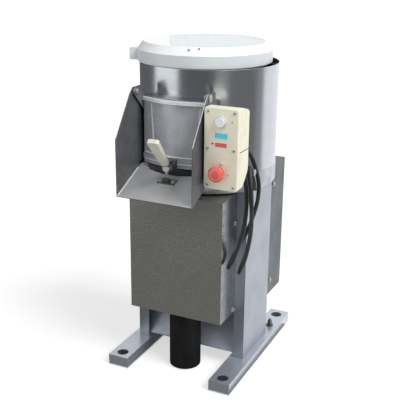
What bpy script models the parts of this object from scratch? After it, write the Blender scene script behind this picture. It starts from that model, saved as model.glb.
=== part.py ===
"""Floor-standing potato peeler: abrasive drum, discharge door and chute, pedestal, drive and controls.

Metres, +Z up.  Every size below is measured from the machine's own planes: x from the plane of
symmetry, y from the middle of the floor rails (the chute points along -Y), z from the floor.
"""
import math

import bmesh
import bpy
from mathutils import Matrix, Vector

# Clearances and facets
GAP = 0.0003
OVERRUN = 0.004
WELD = 0.000001
FINE_STEPS = 56
MAIN_STEPS = 30
SMALL_STEPS = 16
TINY_STEPS = 12
HEX_STEPS = 6

# Floor rails, rectangular tube
RAIL_LENGTH = 0.4814
RAIL_WIDTH = 0.0609
RAIL_HEIGHT = 0.0333
RAIL_WALL = 0.003
RAIL_MIDDLE = 0.15715
RAIL_HOLE_FRONT = -0.2138
RAIL_HOLE_REAR = 0.2084
ACCESS_RADIUS = 0.0165
BOLT_RADIUS = 0.007

# Legs, upright channels on the rails
LEG_INNER = 0.1362
LEG_OUTER = 0.1679
LEG_FRONT = -0.096
LEG_REAR = 0.086
LEG_TOP = 0.525
LEG_WALL = 0.004

# Earth stud on the right rail
EARTH_Y = 0.1306
EARTH_X = 0.164
EARTH_PLATE_RADIUS = 0.011
EARTH_PLATE = 0.003
EARTH_STUD_RADIUS = 0.004
EARTH_STUD_HEIGHT = 0.022
EARTH_NUT_RADIUS = 0.0075
EARTH_NUT_HEIGHT = 0.006
EARTH_NUT_GAP = 0.0005

# Splash panel between the legs
PANEL_FOOT_Y = -0.089
PANEL_FOOT_Z = 0.042
PANEL_LIP = 0.004
PANEL_ANGLE = math.radians(54.0)
PANEL_LENGTH = 0.151
PANEL_SHEET = 0.002
PANEL_FLANGE = 0.018

# Front and rear covers
SHEET = 0.0015
FRONT_COVER_FRONT = -0.1933
FRONT_COVER_BOTTOM = 0.1774
FRONT_COVER_TOP = 0.5234
REAR_COVER_REAR = 0.1922
REAR_COVER_BOTTOM = 0.1564
REAR_COVER_TOP = 0.559
REAR_FLANGE = 0.029
DRUM_CLEARANCE = 0.003
STRAP_SHEET = 0.002
STRAP_REACH = 0.032
STRAP_MARGIN = 0.003

# Deck plate on the legs
DECK_SHEET = 0.005

# Drum: cast base, shell, liner
DRUM_Y = 0.0139
DRUM_RADIUS = 0.1903
DRUM_TOP = 0.8534
BASE_FLOOR = 0.010
BASE_WALL = 0.006
BASE_HEIGHT = 0.046
SHELL_SHEET = 0.0015
SHELL_HEM = 0.0025
SHELL_HEM_HEIGHT = 0.003
OPENING_HALF = 0.0855
OPENING_BOTTOM = 0.612
OPENING_TOP = 0.762
OPENING_CORNER = 0.012
LINER_WALL = 0.005
LINER_BOTTOM = 0.604
LINER_TOP = 0.838
LINER_MARGIN = 0.003

# Drain
DRAIN_X = 0.004
DRAIN_Y = -0.1345
DRAIN_BORE = 0.034
SPOUT_WALL = 0.0045
SPOUT_BOTTOM = 0.490
PIPE_RADIUS = 0.0445
PIPE_BOTTOM = 0.003
PIPE_TOP = 0.517
NOTCH_MARGIN = 0.004
CLAMP_SHEET = 0.0014
CLAMP_HEIGHT = 0.012
CLAMP_DROP = 0.009
CLAMP_LUG = 0.014

# Bearing housing, bearings and seal
HOUSING_RADIUS = 0.038
HOUSING_DROP = 0.113
HOUSING_BOTTOM = LEG_TOP - HOUSING_DROP
HOUSING_FLANGE_RADIUS = 0.062
HOUSING_FLANGE = 0.008
HOUSING_NECK_RADIUS = 0.031
HOUSING_NECK_LIFT = 0.0215
HOUSING_NECK_TOP = LEG_TOP + DECK_SHEET + HOUSING_NECK_LIFT
HOUSING_BORE = 0.018
SEAT_RADIUS = 0.026
BEARING_WIDTH = 0.015
SEAL_HEIGHT = 0.010
HUB_COLLAR = 0.006

# Shafts, pulleys and belt
SHAFT_RADIUS = 0.0125
SHAFT_TOP_RADIUS = 0.010
SHAFT_DROP = 0.040
SHAFT_BOTTOM = HOUSING_BOTTOM - SHAFT_DROP
SHOULDER_LIFT = 0.004
SHAFT_SHOULDER = HOUSING_NECK_TOP + SHOULDER_LIFT
SHAFT_TOP = 0.618
PULLEY_DROP = 0.034
PULLEY_BOTTOM = HOUSING_BOTTOM - PULLEY_DROP
PULLEY_WIDTH = 0.022
PULLEY_HUB_RADIUS = 0.020
DRIVEN_PITCH = 0.072
MOTOR_PITCH = 0.024
RIM_OVER_PITCH = 0.0045
GROOVE_UNDER_PITCH = 0.0055
GROOVE_HALF_OUT = 0.0065
GROOVE_HALF_IN = 0.0035
BELT_OVER_PITCH = 0.0037
BELT_UNDER_PITCH = 0.0045
BELT_HALF_OUT = 0.0057
BELT_HALF_IN = 0.0033

# Motor on its plate
MOTOR_Y = 0.122
PLATE_DROP = 0.010
MOTOR_PLATE_TOP = PULLEY_BOTTOM - PLATE_DROP
MOTOR_PLATE_SHEET = 0.006
MOTOR_PLATE_FRONT = 0.030
MOTOR_PLATE_REAR = 0.187
MOTOR_PLATE_HALF = 0.090
MOTOR_PLATE_MARGIN = 0.001
MOTOR_REGISTER = 0.022
MOTOR_RADIUS = 0.052
MOTOR_FLANGE_RADIUS = 0.066
MOTOR_FLANGE = 0.009
MOTOR_BOTTOM = 0.205
MOTOR_SHAFT_RADIUS = 0.008
MOTOR_SHAFT_BOTTOM = 0.176
COWL_SHEET = 0.0015
COWL_BOTTOM = 0.165
COWL_HOLE = 0.030
FAN_HUB = 0.014
FAN_RADIUS = 0.044
FAN_HEIGHT = 0.012
FAN_PLATE = 0.002
FAN_BLADE = 0.0015
FAN_BLADES = 6
TERMINAL_OUT = 0.086
TERMINAL_HALF = 0.028
TERMINAL_BOTTOM = 0.250
TERMINAL_TOP = 0.318
TERMINAL_REACH = 0.012

# Abrasive disc and its nut
DISC_RADIUS = 0.163
DISC_BOTTOM = 0.584
DISC_THICKNESS = 0.011
DISC_HUB_RADIUS = 0.028
DISC_LOBE_HEIGHT = 0.006
DISC_LOBE_HALF = 0.020
DISC_LOBE_START = 0.032
DISC_LOBE_END = 0.150
DISC_LOBES = 2
NUT_RADIUS = 0.017
NUT_HEX_HEIGHT = 0.012
NUT_HEIGHT = 0.030
NUT_DOME_RADIUS = 0.0135

# Lid
LID_X = -0.0136
LID_RADIUS = 0.184
LID_SKIRT_HEIGHT = 0.0356
LID_SHOULDER = DRUM_TOP + GAP + LID_SKIRT_HEIGHT
LID_CROWN = 0.0162
LID_RIM_TOP = LID_SHOULDER + LID_CROWN
LID_RIM_RADIUS = 0.168
LID_RIM_LAND = 0.006
LID_EDGE = 0.004
LID_SKIN = 0.006
LID_SKIRT = 0.010
LID_RECESS = 0.004
LID_WINDOW_SHEET = 0.003
LID_LEDGE = 0.010
LID_CHORD = 0.095
LID_TURN = math.radians(207.6)
LID_COLLAR_RADIUS = 0.1716
LID_COLLAR_WALL = 0.004
LID_COLLAR_DROP = 0.007
LUG_REACH = 0.204
LUG_HALF = 0.021
LUG_DROP = 0.0015
LUG_RISE = 0.0015

# Outlet neck around the drum opening, with the door's gasket
NECK_HALF = 0.105
NECK_SHEET = 0.0015
NECK_FRONT = -0.195
NECK_BOTTOM = 0.597
NECK_TOP = 0.779
NECK_LEDGE_PROUD = 0.0202
NECK_LEDGE_RADIUS = DRUM_RADIUS + NECK_LEDGE_PROUD
GASKET_HALF = 0.0995
GASKET_BOTTOM = 0.6065
GASKET_TOP = 0.7685
GASKET_LIP = 0.003

# Door
GASKET_DEPTH = 0.0172
DOOR_INNER_RADIUS = DRUM_RADIUS + GASKET_DEPTH
DOOR_PLATE = 0.0055
DOOR_HALF = 0.1000
DOOR_BOTTOM = 0.602
DOOR_TOP = 0.7765
DOOR_BAND = 0.009
DOOR_BAND_PROUD = 0.0065
DOOR_RIM_TOP = 0.627
DOOR_RIM_STEP = 0.612
DOOR_RIM_PROUD = 0.0035
DOOR_FOOT_PROUD = 0.0015
ARM_OUTER = 0.1010
ARM_SHEET = 0.0025
ARM_FOOT = 0.746
ARM_INSET = 0.0039
ARM_BACK = DRUM_Y - math.sqrt(DOOR_INNER_RADIUS ** 2 - DOOR_HALF ** 2) - ARM_INSET
ARM_WELD = 0.007
PIVOT_PROUD = 0.0187
PIVOT_Y = DRUM_Y - DOOR_INNER_RADIUS - PIVOT_PROUD
PIVOT_Z = 0.7943
PIVOT_EYE = 0.011
PIVOT_STUD = 0.004
PIVOT_COLLAR = 0.007
PIVOT_HEAD = 0.010
PIVOT_HEAD_HEIGHT = 0.004
PIVOT_NUT = 0.0075
PIVOT_NUT_HEIGHT = 0.0045
PIVOT_STUD_SPARE = 0.001

# Chute
CHUTE_INNER = 0.1053
CHUTE_SHEET = 0.002
CHUTE_REAR = -0.181
CHUTE_EAR_TOP = 0.806
CHUTE_EAR_FRONT = -0.222
CHUTE_SHOULDER_Y = -0.238
CHUTE_SHOULDER_Z = 0.790
CHUTE_KNEE_Y = -0.306
CHUTE_KNEE_Z = 0.692
CHUTE_FRONT = -0.308
CHUTE_FOOT_Z = 0.541
CHUTE_SLOPE = math.radians(24.2)
CHUTE_FLOOR_RADIUS = 0.225

# Latch on the door and its keeper on the chute
LATCH_PROUD = 0.0399
LATCH_Y = DRUM_Y - DOOR_INNER_RADIUS - LATCH_PROUD
LATCH_Z = 0.610
LATCH_BOSS = 0.0105
LATCH_HALF = 0.006
LATCH_SIDE_GAP = 0.0004
CHEEK_SHEET = 0.003
CHEEK_EYE = 0.0095
BRACKET_BASE = 0.0026
BRACKET_HALF = 0.0125
BRACKET_BOTTOM = 0.602
BRACKET_TOP = 0.628
LATCH_PIN = 0.003
LATCH_PIN_HEAD = 0.0045
LATCH_PIN_HEAD_HEIGHT = 0.002
LEVER_RISE = math.radians(48.7)
LEVER_NECK_HALF = 0.0045
LEVER_NECK_WIDE = 0.0052
COLLAR_AT = 0.0125
COLLAR_LENGTH = 0.006
COLLAR_HALF_WIDTH = 0.010
COLLAR_HALF_THICK = 0.0055
TANG_LENGTH = 0.034
TANG_HALF_WIDTH = 0.005
TANG_HALF_THICK = 0.0022
GRIP_END = 0.116
GRIP_HALF_ROOT = 0.0102
GRIP_HALF_END = 0.0157
GRIP_HALF_THICK = 0.0063
GRIP_CORNER = 0.005
TONGUE_LENGTH = 0.0172
TONGUE_HALF = 0.0045
KEEPER_AHEAD = 0.0015
KEEPER_Y = LATCH_Y - KEEPER_AHEAD
KEEPER_HALF_WIDTH = 0.025
KEEPER_HALF_DEPTH = 0.010
KEEPER_SHEET = 0.002
KEEPER_LUG_HALF = 0.009
KEEPER_LUG_DEPTH = 0.004
KEEPER_LUG_HEIGHT = 0.0125

# Control box
BOX_LEFT = 0.1145
BOX_WIDTH = 0.090
BOX_FACE = -0.262
BOX_BACK = -0.190
BOX_BOTTOM = 0.582
BOX_TOP = 0.785
BOX_LID = 0.013
BOX_WALL = 0.003
BOX_CORNER = 0.007
BOX_HEEL = ((-0.236, 0.582), (-0.2207, 0.595), (-0.198, 0.6206), (-0.190, 0.642))
BOX_CROWN = ((-0.236, 0.785), (-0.2053, 0.7767), (-0.190, 0.7677))
BOX_SCREW_X = 0.0345
BOX_SCREW_LOW = 0.592
BOX_SCREW_MIDDLE = 0.684
BOX_SCREW_HIGH = 0.775
BOX_SCREW_ROWS = (BOX_SCREW_LOW, BOX_SCREW_MIDDLE, BOX_SCREW_HIGH)
SMALL_SCREW_RADIUS = 0.0016
BOX_SCREW_BITE = 0.010
BOX_BOSS = 0.0048
START_Z = 0.752
BEZEL_RADIUS = 0.015
BEZEL_HEIGHT = 0.0042
BEZEL_RING = 0.0121
BEZEL_WEB = 0.001
BEZEL_NECK = 0.0111
BEZEL_BORE = 0.0083
CAP_RADIUS = 0.0118
CAP_HEIGHT = 0.005
CAP_PROUD = 0.001
STEM_RADIUS = 0.008
NECK_DEPTH = 0.017
STEM_DEPTH = 0.022
START_TRAVEL = 0.003
CONTACT_HALF = 0.015
STRIP_WIDTH = 0.018
STRIP_SHEET = 0.003
CONTACT_MARGIN = 0.002
ESTOP_Z = 0.626
ESTOP_X_SHIFT = -0.004
ESTOP_RADIUS = 0.020
ESTOP_HEAD = 0.015
ESTOP_PROUD = 0.009
ESTOP_TRAVEL = 0.004
ESTOP_SKIRT = 0.0165
LAMP_Z = 0.649
LAMP_RADIUS = 0.0045
LAMP_DOME = 0.003
LAMP_STEM = 0.003
LAMP_STEM_LENGTH = 0.020

# Control bracket on the neck, with the peg for the cable
BRACKET_LEFT = 0.1076
BRACKET_RIGHT = 0.150
BRACKET_SHEET = 0.003
BRACKET_LOW = 0.630
BRACKET_HIGH = 0.745
BRACKET_FLANGE_END = -0.158
BRACKET_BOLT_Y = -0.1675
BRACKET_BOLT_LOW = 0.655
BRACKET_BOLT_HIGH = 0.720
BRACKET_SPACER = 0.0055
TAB_REAR = -0.126
TAB_LOW = 0.588
TAB_HIGH = 0.650
TAB_END_HIGH = 0.612
PEG_RADIUS = 0.0045
PEG_Y = -0.136
PEG_END = 0.199
PEG_STOP_RADIUS = 0.009
PEG_STOP = 0.002

# Water inlet at the rear of the drum
INLET_Z = 0.790
INLET_RADIUS = 0.0105
INLET_BORE = 0.0075
INLET_REACH = 0.034
INLET_FLANGE_RADIUS = 0.021
INLET_FLANGE = 0.003
INLET_NUT_RADIUS = 0.0165
INLET_NUT = 0.009

# Supply cable: gland, lead and hank
GLAND_X = 0.172
GLAND_Z = 0.660
GLAND_NUT_RADIUS = 0.0115
GLAND_NUT = 0.006
GLAND_NOSE_RADIUS = 0.0095
GLAND_NOSE = 0.025
GLAND_THREAD = 0.0080
GLAND_THREAD_LENGTH = 0.009
GLAND_CABLE_HOLE_SHARE = 0.52
CABLE_RADIUS = 0.0055
HANK_TOP = 0.610
HANK_BOTTOM = 0.345
HANK_BEND = 0.033
HANK_TOP_Y = -0.136
HANK_BOTTOM_Y = -0.187
HANK_TURNS = 1.90
HANK_BEND_PIECES = 8
HANK_SWAY = 0.0088
HANK_SLANT_TOP_SHARE = 0.42
HANK_SLANT_BOTTOM_SHARE = 0.26
HANK_LEFT_PEG = 0.170
HANK_RIGHT_PEG = 0.186
LOOP_DOWN = (0.255, 0.192, 0.154)
LOOP_UP = (0.200, 0.195, 0.154)
LOOP_SECOND = (0.205, 0.222, 0.187)
LOOP_TAIL = (0.222, 0.222, 0.200)
LEAD_ROUTE = (
    (0.1720, -0.1480, 0.6600),
    (0.1735, -0.1330, 0.6570),
    (0.1775, -0.1180, 0.6440),
    (0.1830, -0.1080, 0.6240),
    (0.1900, -0.1030, 0.6000),
    (0.1965, -0.1020, 0.5760),
    (0.2005, -0.1030, 0.5500),
    (0.2005, -0.1070, 0.5220),
)
LEAD_POINTS = 26

def clear_scene():
    for thing in list(bpy.data.objects):
        bpy.data.objects.remove(thing, do_unlink=True)


def material(name, colour, roughness, metallic=0.0, alpha=1.0):
    paint = bpy.data.materials.new(name)
    paint.use_nodes = True
    shader = paint.node_tree.nodes["Principled BSDF"]
    shader.inputs["Base Color"].default_value = (*colour, 1.0)
    shader.inputs["Roughness"].default_value = roughness
    shader.inputs["Metallic"].default_value = metallic
    shader.inputs["Alpha"].default_value = alpha
    paint.diffuse_color = (*colour, alpha)
    return paint


# Shapes

def aimed(bm, axis, middle):
    """Turns a shape built about Z so that it stands about the named axis through middle."""
    if axis == "x":
        bmesh.ops.rotate(bm, verts=bm.verts, matrix=Matrix.Rotation(math.pi / 2, 3, "Y"))
        place = Vector((0.0, middle[0], middle[1]))
    elif axis == "y":
        bmesh.ops.rotate(bm, verts=bm.verts, matrix=Matrix.Rotation(-math.pi / 2, 3, "X"))
        place = Vector((middle[0], 0.0, middle[1]))
    else:
        place = Vector((middle[0], middle[1], 0.0))
    bmesh.ops.translate(bm, verts=bm.verts, vec=place)
    return bm


def turned(profile, axis="z", middle=(0.0, 0.0), steps=MAIN_STEPS):
    """Solid of revolution from (radius, height) points; heights lie along the axis."""
    bm = bmesh.new()
    verts = [bm.verts.new((radius, 0.0, height)) for radius, height in profile]
    edges = [bm.edges.new(pair) for pair in zip(verts, verts[1:])]
    if profile[0][0] > 0.0 or profile[-1][0] > 0.0:
        edges.append(bm.edges.new((verts[-1], verts[0])))
    bmesh.ops.spin(bm, geom=verts + edges, cent=(0, 0, 0), axis=(0, 0, 1),
                   angle=2 * math.pi, steps=steps, use_merge=True)
    bmesh.ops.remove_doubles(bm, verts=bm.verts, dist=WELD)
    return aimed(bm, axis, middle)


def rod(radius, low, high, axis="z", middle=(0.0, 0.0), steps=SMALL_STEPS):
    return turned([(0.0, low), (radius, low), (radius, high), (0.0, high)], axis, middle, steps)


def sleeve(bore, radius, low, high, axis="z", middle=(0.0, 0.0), steps=SMALL_STEPS):
    return turned([(bore, low), (radius, low), (radius, high), (bore, high)], axis, middle, steps)


def prism(outline, axis, low, high):
    """Outline extruded along an axis; its points are the other two coordinates in order."""
    bm = bmesh.new()
    spots = {
        "x": lambda a, b: (low, a, b),
        "y": lambda a, b: (a, low, b),
        "z": lambda a, b: (a, b, low),
    }
    along = {"x": (1, 0, 0), "y": (0, 1, 0), "z": (0, 0, 1)}
    face = bm.faces.new([bm.verts.new(spots[axis](a, b)) for a, b in outline])
    grown = bmesh.ops.extrude_face_region(bm, geom=[face])
    moved = [item for item in grown["geom"] if isinstance(item, bmesh.types.BMVert)]
    bmesh.ops.translate(bm, verts=moved, vec=Vector(along[axis]) * (high - low))
    return bm


def block(x, y, z):
    return prism([(x[0], y[0]), (x[1], y[0]), (x[1], y[1]), (x[0], y[1])], "z", z[0], z[1])


def arc_points(middle, radius, start, end, steps):
    """Points on a circle between two angles in degrees, both ends included."""
    points = []
    for index in range(steps + 1):
        angle = math.radians(start + (end - start) * index / steps)
        points.append((middle[0] + radius * math.cos(angle), middle[1] + radius * math.sin(angle)))
    return points


def rounded(low, high, corner, steps=4):
    """Rectangle outline between two corner points, with rounded corners."""
    points = []
    spots = (
        (high[0] - corner, high[1] - corner, 0),
        (low[0] + corner, high[1] - corner, 90),
        (low[0] + corner, low[1] + corner, 180),
        (high[0] - corner, low[1] + corner, 270),
    )
    for across, up, start in spots:
        points += arc_points((across, up), corner, start, start + 90, steps)
    return points


def bent(profile, half_angle, steps):
    """Profile of (radius, height) points swept about the drum's axis, to both sides of -Y."""
    bm = bmesh.new()
    first = -math.pi / 2 - half_angle
    verts = []
    for radius, height in profile:
        verts.append(bm.verts.new((radius * math.cos(first), radius * math.sin(first), height)))
    face = bm.faces.new(verts)
    bmesh.ops.spin(bm, geom=[face], cent=(0, 0, 0), axis=(0, 0, 1), angle=2 * half_angle, steps=steps)
    bmesh.ops.translate(bm, verts=bm.verts, vec=(0.0, DRUM_Y, 0.0))
    return bm


def together(parts):
    """Several separate shapes as one."""
    whole = bmesh.new()
    for part in parts:
        mesh = bpy.data.meshes.new("piece")
        part.to_mesh(mesh)
        part.free()
        whole.from_mesh(mesh)
        bpy.data.meshes.remove(mesh)
    return whole


def both_sides(make):
    """The shape that make(+1) gives on the right and make(-1) on the left."""
    return together([make(1), make(-1)])


def span(side, inner, outer):
    """Range of x between two distances from the plane of symmetry."""
    return sorted((side * inner, side * outer))


# Objects

def put(name, bm, paint, origin=(0.0, 0.0, 0.0), smooth=False):
    """Makes the named object; a moving piece gets its origin on its joint's axis."""
    bmesh.ops.translate(bm, verts=bm.verts, vec=-Vector(origin))
    bmesh.ops.recalc_face_normals(bm, faces=bm.faces)
    mesh = bpy.data.meshes.new(name)
    bm.to_mesh(mesh)
    bm.free()
    if smooth:
        mesh.shade_smooth()
        mesh.set_sharp_from_angle(angle=math.radians(35.0))
    mesh.materials.append(paint)
    thing = bpy.data.objects.new(name, mesh)
    bpy.context.scene.collection.objects.link(thing)
    thing.location = origin
    thing.parent = FRAME
    return thing


def combine(thing, bm, operation):
    """Adds a Boolean with a hidden helper shape."""
    number = len(thing.modifiers)
    helper = put(f"{thing.name}_shape_{number}", bm, thing.data.materials[0])
    helper.hide_render = True
    helper.display_type = "WIRE"
    modifier = thing.modifiers.new(f"shape_{number}", "BOOLEAN")
    modifier.operation = operation
    modifier.solver = "EXACT"
    modifier.object = helper
    return helper


def cut(thing, *parts):
    for part in parts:
        combine(thing, part, "DIFFERENCE")
    return thing


def unite(thing, *parts):
    for part in parts:
        combine(thing, part, "UNION")
    return thing


# Places that several pieces share
DRUM = (0.0, DRUM_Y)
DRAIN = (DRAIN_X, DRAIN_Y)
MOTOR = (0.0, MOTOR_Y)
LEG_BOTTOM = RAIL_HEIGHT + GAP
DECK_BOTTOM = LEG_TOP + GAP
DECK_TOP = DECK_BOTTOM + DECK_SHEET
BASE_BOTTOM = DECK_TOP + GAP
BASE_TOP = BASE_BOTTOM + BASE_HEIGHT
WEB_INNER = LEG_OUTER - LEG_WALL
COVER_HALF = LEG_INNER + SHEET
STRAP_OUTER = LEG_INNER - GAP
STRAP_INNER = STRAP_OUTER - STRAP_SHEET
CHUTE_OUTER = CHUTE_INNER + CHUTE_SHEET
PIPE_BORE = DRAIN_BORE + SPOUT_WALL + GAP
BOX_MIDDLE = BOX_LEFT + BOX_WIDTH / 2
BOX_RIGHT = BOX_LEFT + BOX_WIDTH
ESTOP_X = BOX_MIDDLE + ESTOP_X_SHIFT
GROOVE_Z = PULLEY_BOTTOM + PULLEY_WIDTH / 2


# Pedestal

def floor_rails():
    holes = (RAIL_HOLE_FRONT, RAIL_HOLE_REAR)
    for side, label in ((-1, "left"), (1, "right")):
        middle = side * RAIL_MIDDLE
        half = RAIL_WIDTH / 2
        rail = put(f"base_rail_{label}",
                   block((middle - half, middle + half), (-RAIL_LENGTH / 2, RAIL_LENGTH / 2),
                         (0.0, RAIL_HEIGHT)), FRAME_PAINT)
        cut(rail,
            block((middle - half + RAIL_WALL, middle + half - RAIL_WALL),
                  (-RAIL_LENGTH / 2 + RAIL_WALL, RAIL_LENGTH / 2 - RAIL_WALL),
                  (RAIL_WALL, RAIL_HEIGHT - RAIL_WALL)),
            together([rod(ACCESS_RADIUS, RAIL_HEIGHT / 2, RAIL_HEIGHT + OVERRUN, "z", (middle, y))
                      for y in holes]
                     + [rod(BOLT_RADIUS, -OVERRUN, RAIL_HEIGHT / 2 - GAP, "z", (middle, y))
                        for y in holes]))


def legs():
    for side, label in ((-1, "left"), (1, "right")):
        leg = put(f"leg_{label}",
                  block(span(side, LEG_INNER, LEG_OUTER), (LEG_FRONT, LEG_REAR), (LEG_BOTTOM, LEG_TOP)),
                  FRAME_PAINT)
        cut(leg, block(span(side, LEG_INNER - OVERRUN, WEB_INNER),
                       (LEG_FRONT + LEG_WALL, LEG_REAR - LEG_WALL),
                       (LEG_BOTTOM - OVERRUN, LEG_TOP + OVERRUN)))
        low = FRONT_COVER_BOTTOM + STRAP_MARGIN
        high = FRONT_COVER_TOP - SHEET - STRAP_MARGIN
        unite(leg,
              block(span(side, STRAP_INNER, STRAP_OUTER),
                    (LEG_FRONT - STRAP_REACH, LEG_FRONT + LEG_WALL), (low, high)),
              block(span(side, STRAP_INNER, LEG_INNER + LEG_WALL),
                    (LEG_FRONT + LEG_WALL / 2, LEG_FRONT + LEG_WALL), (low, high)))


def earth_stud():
    """Welded stud with two nuts run down on it."""
    base = RAIL_HEIGHT + GAP
    top = base + EARTH_PLATE
    low = top + EARTH_NUT_GAP
    middle = low + EARTH_NUT_HEIGHT
    place = (EARTH_X, EARTH_Y)
    stud = put("earth_stud", turned([
        (0.0, base), (EARTH_PLATE_RADIUS, base), (EARTH_PLATE_RADIUS, top), (EARTH_STUD_RADIUS, top),
        (EARTH_STUD_RADIUS, base + EARTH_STUD_HEIGHT), (0.0, base + EARTH_STUD_HEIGHT),
    ], "z", place, SMALL_STEPS), ZINC, smooth=True)
    unite(stud,
          rod(EARTH_NUT_RADIUS, low, middle, "z", place, HEX_STEPS),
          rod(EARTH_NUT_RADIUS, middle + EARTH_NUT_GAP, middle + EARTH_NUT_GAP + EARTH_NUT_HEIGHT, "z",
              place, HEX_STEPS))


def splash_panel():
    lean_y = math.cos(PANEL_ANGLE)
    lean_z = math.sin(PANEL_ANGLE)
    foot = (PANEL_FOOT_Y, PANEL_FOOT_Z)
    bend = (PANEL_FOOT_Y, PANEL_FOOT_Z + PANEL_LIP)
    top = (bend[0] + PANEL_LENGTH * lean_y, bend[1] + PANEL_LENGTH * lean_z)
    shift_y = PANEL_SHEET * lean_z
    shift_z = PANEL_SHEET * lean_y
    outline = [
        foot,
        (foot[0] + PANEL_SHEET, foot[1]),
        (bend[0] + shift_y, bend[1] - shift_z),
        (top[0] + shift_y, top[1] - shift_z),
        (top[0] + PANEL_FLANGE, top[1] - shift_z),
        (top[0] + PANEL_FLANGE, top[1]),
        top,
        bend,
    ]
    half = WEB_INNER - GAP
    put("splash_panel", prism(outline, "x", -half, half), PANEL_STEEL)


def deck_plate():
    deck = put("deck_plate",
               block((-LEG_OUTER, LEG_OUTER), (LEG_FRONT, LEG_REAR), (DECK_BOTTOM, DECK_TOP)), FRAME_PAINT)
    cut(deck,
        rod(HOUSING_NECK_RADIUS + GAP, DECK_BOTTOM - OVERRUN, DECK_TOP + OVERRUN, "z", DRUM, MAIN_STEPS),
        rod(DRAIN_BORE + SPOUT_WALL + NOTCH_MARGIN, DECK_BOTTOM - OVERRUN, DECK_TOP + OVERRUN, "z", DRAIN,
            MAIN_STEPS))


# Covers

def front_cover():
    rear = LEG_FRONT - GAP
    cover = put("front_cover",
                block((-COVER_HALF, COVER_HALF), (FRONT_COVER_FRONT, rear),
                      (FRONT_COVER_BOTTOM, FRONT_COVER_TOP)), HAMMER_PAINT)
    cut(cover,
        block((-LEG_INNER, LEG_INNER), (FRONT_COVER_FRONT + SHEET, rear + OVERRUN),
              (FRONT_COVER_BOTTOM - OVERRUN, FRONT_COVER_TOP - SHEET)),
        rod(DRAIN_BORE + SPOUT_WALL + NOTCH_MARGIN, FRONT_COVER_TOP - NOTCH_MARGIN,
            FRONT_COVER_TOP + OVERRUN, "z", DRAIN, MAIN_STEPS))


def rear_cover():
    front = LEG_REAR + GAP
    cover = put("rear_cover",
                block((-LEG_OUTER, LEG_OUTER), (front, REAR_COVER_REAR),
                      (REAR_COVER_BOTTOM, REAR_COVER_TOP)), GREY_PAINT)
    inner = LEG_OUTER - SHEET
    opening = LEG_OUTER - REAR_FLANGE
    cut(cover,
        block((-inner, inner), (front + SHEET, REAR_COVER_REAR - SHEET),
              (REAR_COVER_BOTTOM - OVERRUN, REAR_COVER_TOP - SHEET)),
        block((-opening, opening), (front - OVERRUN, front + SHEET + OVERRUN),
              (REAR_COVER_BOTTOM - OVERRUN, REAR_COVER_TOP - SHEET)),
        rod(DRUM_RADIUS + DRUM_CLEARANCE, DECK_TOP - DRUM_CLEARANCE, REAR_COVER_TOP + OVERRUN, "z", DRUM,
            FINE_STEPS))


# Drum

def drum_base():
    floor_top = BASE_BOTTOM + BASE_FLOOR
    bore = HOUSING_NECK_RADIUS + GAP
    inner = DRUM_RADIUS - BASE_WALL
    spout = DRAIN_BORE + SPOUT_WALL
    base = put("drum_base", turned([
        (bore, BASE_BOTTOM), (DRUM_RADIUS, BASE_BOTTOM), (DRUM_RADIUS, BASE_TOP), (inner, BASE_TOP),
        (inner, floor_top), (bore + HUB_COLLAR, floor_top), (bore + HUB_COLLAR, HOUSING_NECK_TOP),
        (bore, HOUSING_NECK_TOP),
    ], "z", DRUM, FINE_STEPS), CAST_ALUMINIUM, smooth=True)
    unite(base, rod(spout, SPOUT_BOTTOM, BASE_BOTTOM + BASE_FLOOR / 2, "z", DRAIN, MAIN_STEPS))
    cut(base, rod(DRAIN_BORE, SPOUT_BOTTOM - OVERRUN, floor_top + OVERRUN, "z", DRAIN, MAIN_STEPS))


def opening_cutter(margin):
    outline = rounded((-OPENING_HALF - margin, OPENING_BOTTOM - margin),
                      (OPENING_HALF + margin, OPENING_TOP + margin), OPENING_CORNER + margin)
    return prism(outline, "y", -DRUM_RADIUS, -DRUM_RADIUS / 2)


def drum_shell():
    inner = DRUM_RADIUS - SHELL_SHEET
    low = BASE_TOP + GAP
    shell = put("drum_shell", turned([
        (inner, low), (DRUM_RADIUS, low), (DRUM_RADIUS, DRUM_TOP), (inner - SHELL_HEM, DRUM_TOP),
        (inner - SHELL_HEM, DRUM_TOP - SHELL_HEM_HEIGHT), (inner, DRUM_TOP - SHELL_HEM_HEIGHT),
    ], "z", DRUM, FINE_STEPS), POLISHED_STEEL, smooth=True)
    cut(shell, opening_cutter(0.0),
        rod(INLET_RADIUS + GAP, DRUM_Y + DRUM_RADIUS / 2, DRUM_Y + DRUM_RADIUS + OVERRUN, "y",
            (0.0, INLET_Z)))


def abrasive_liner():
    outer = DRUM_RADIUS - SHELL_SHEET - GAP
    liner = put("abrasive_liner",
                sleeve(outer - LINER_WALL, outer, LINER_BOTTOM, LINER_TOP, "z", DRUM, FINE_STEPS),
                ABRASIVE, smooth=True)
    cut(liner, opening_cutter(LINER_MARGIN),
        rod(INLET_NUT_RADIUS + LINER_MARGIN, DRUM_Y + DRUM_RADIUS / 2, DRUM_Y + DRUM_RADIUS + OVERRUN,
            "y", (0.0, INLET_Z)))


def water_inlet():
    face = DRUM_Y + DRUM_RADIUS + GAP
    inside = DRUM_Y + DRUM_RADIUS - SHELL_SHEET - LINER_WALL
    inlet = put("water_inlet", turned([
        (INLET_BORE, inside), (INLET_RADIUS, inside), (INLET_RADIUS, face),
        (INLET_FLANGE_RADIUS, face), (INLET_FLANGE_RADIUS, face + INLET_FLANGE),
        (INLET_NUT_RADIUS, face + INLET_FLANGE), (INLET_NUT_RADIUS, face + INLET_FLANGE + INLET_NUT),
        (INLET_RADIUS, face + INLET_FLANGE + INLET_NUT), (INLET_RADIUS, face + INLET_REACH),
        (INLET_BORE, face + INLET_REACH),
    ], "y", (0.0, INLET_Z), SMALL_STEPS), BRASS, smooth=True)
    return inlet


# Drain

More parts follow.
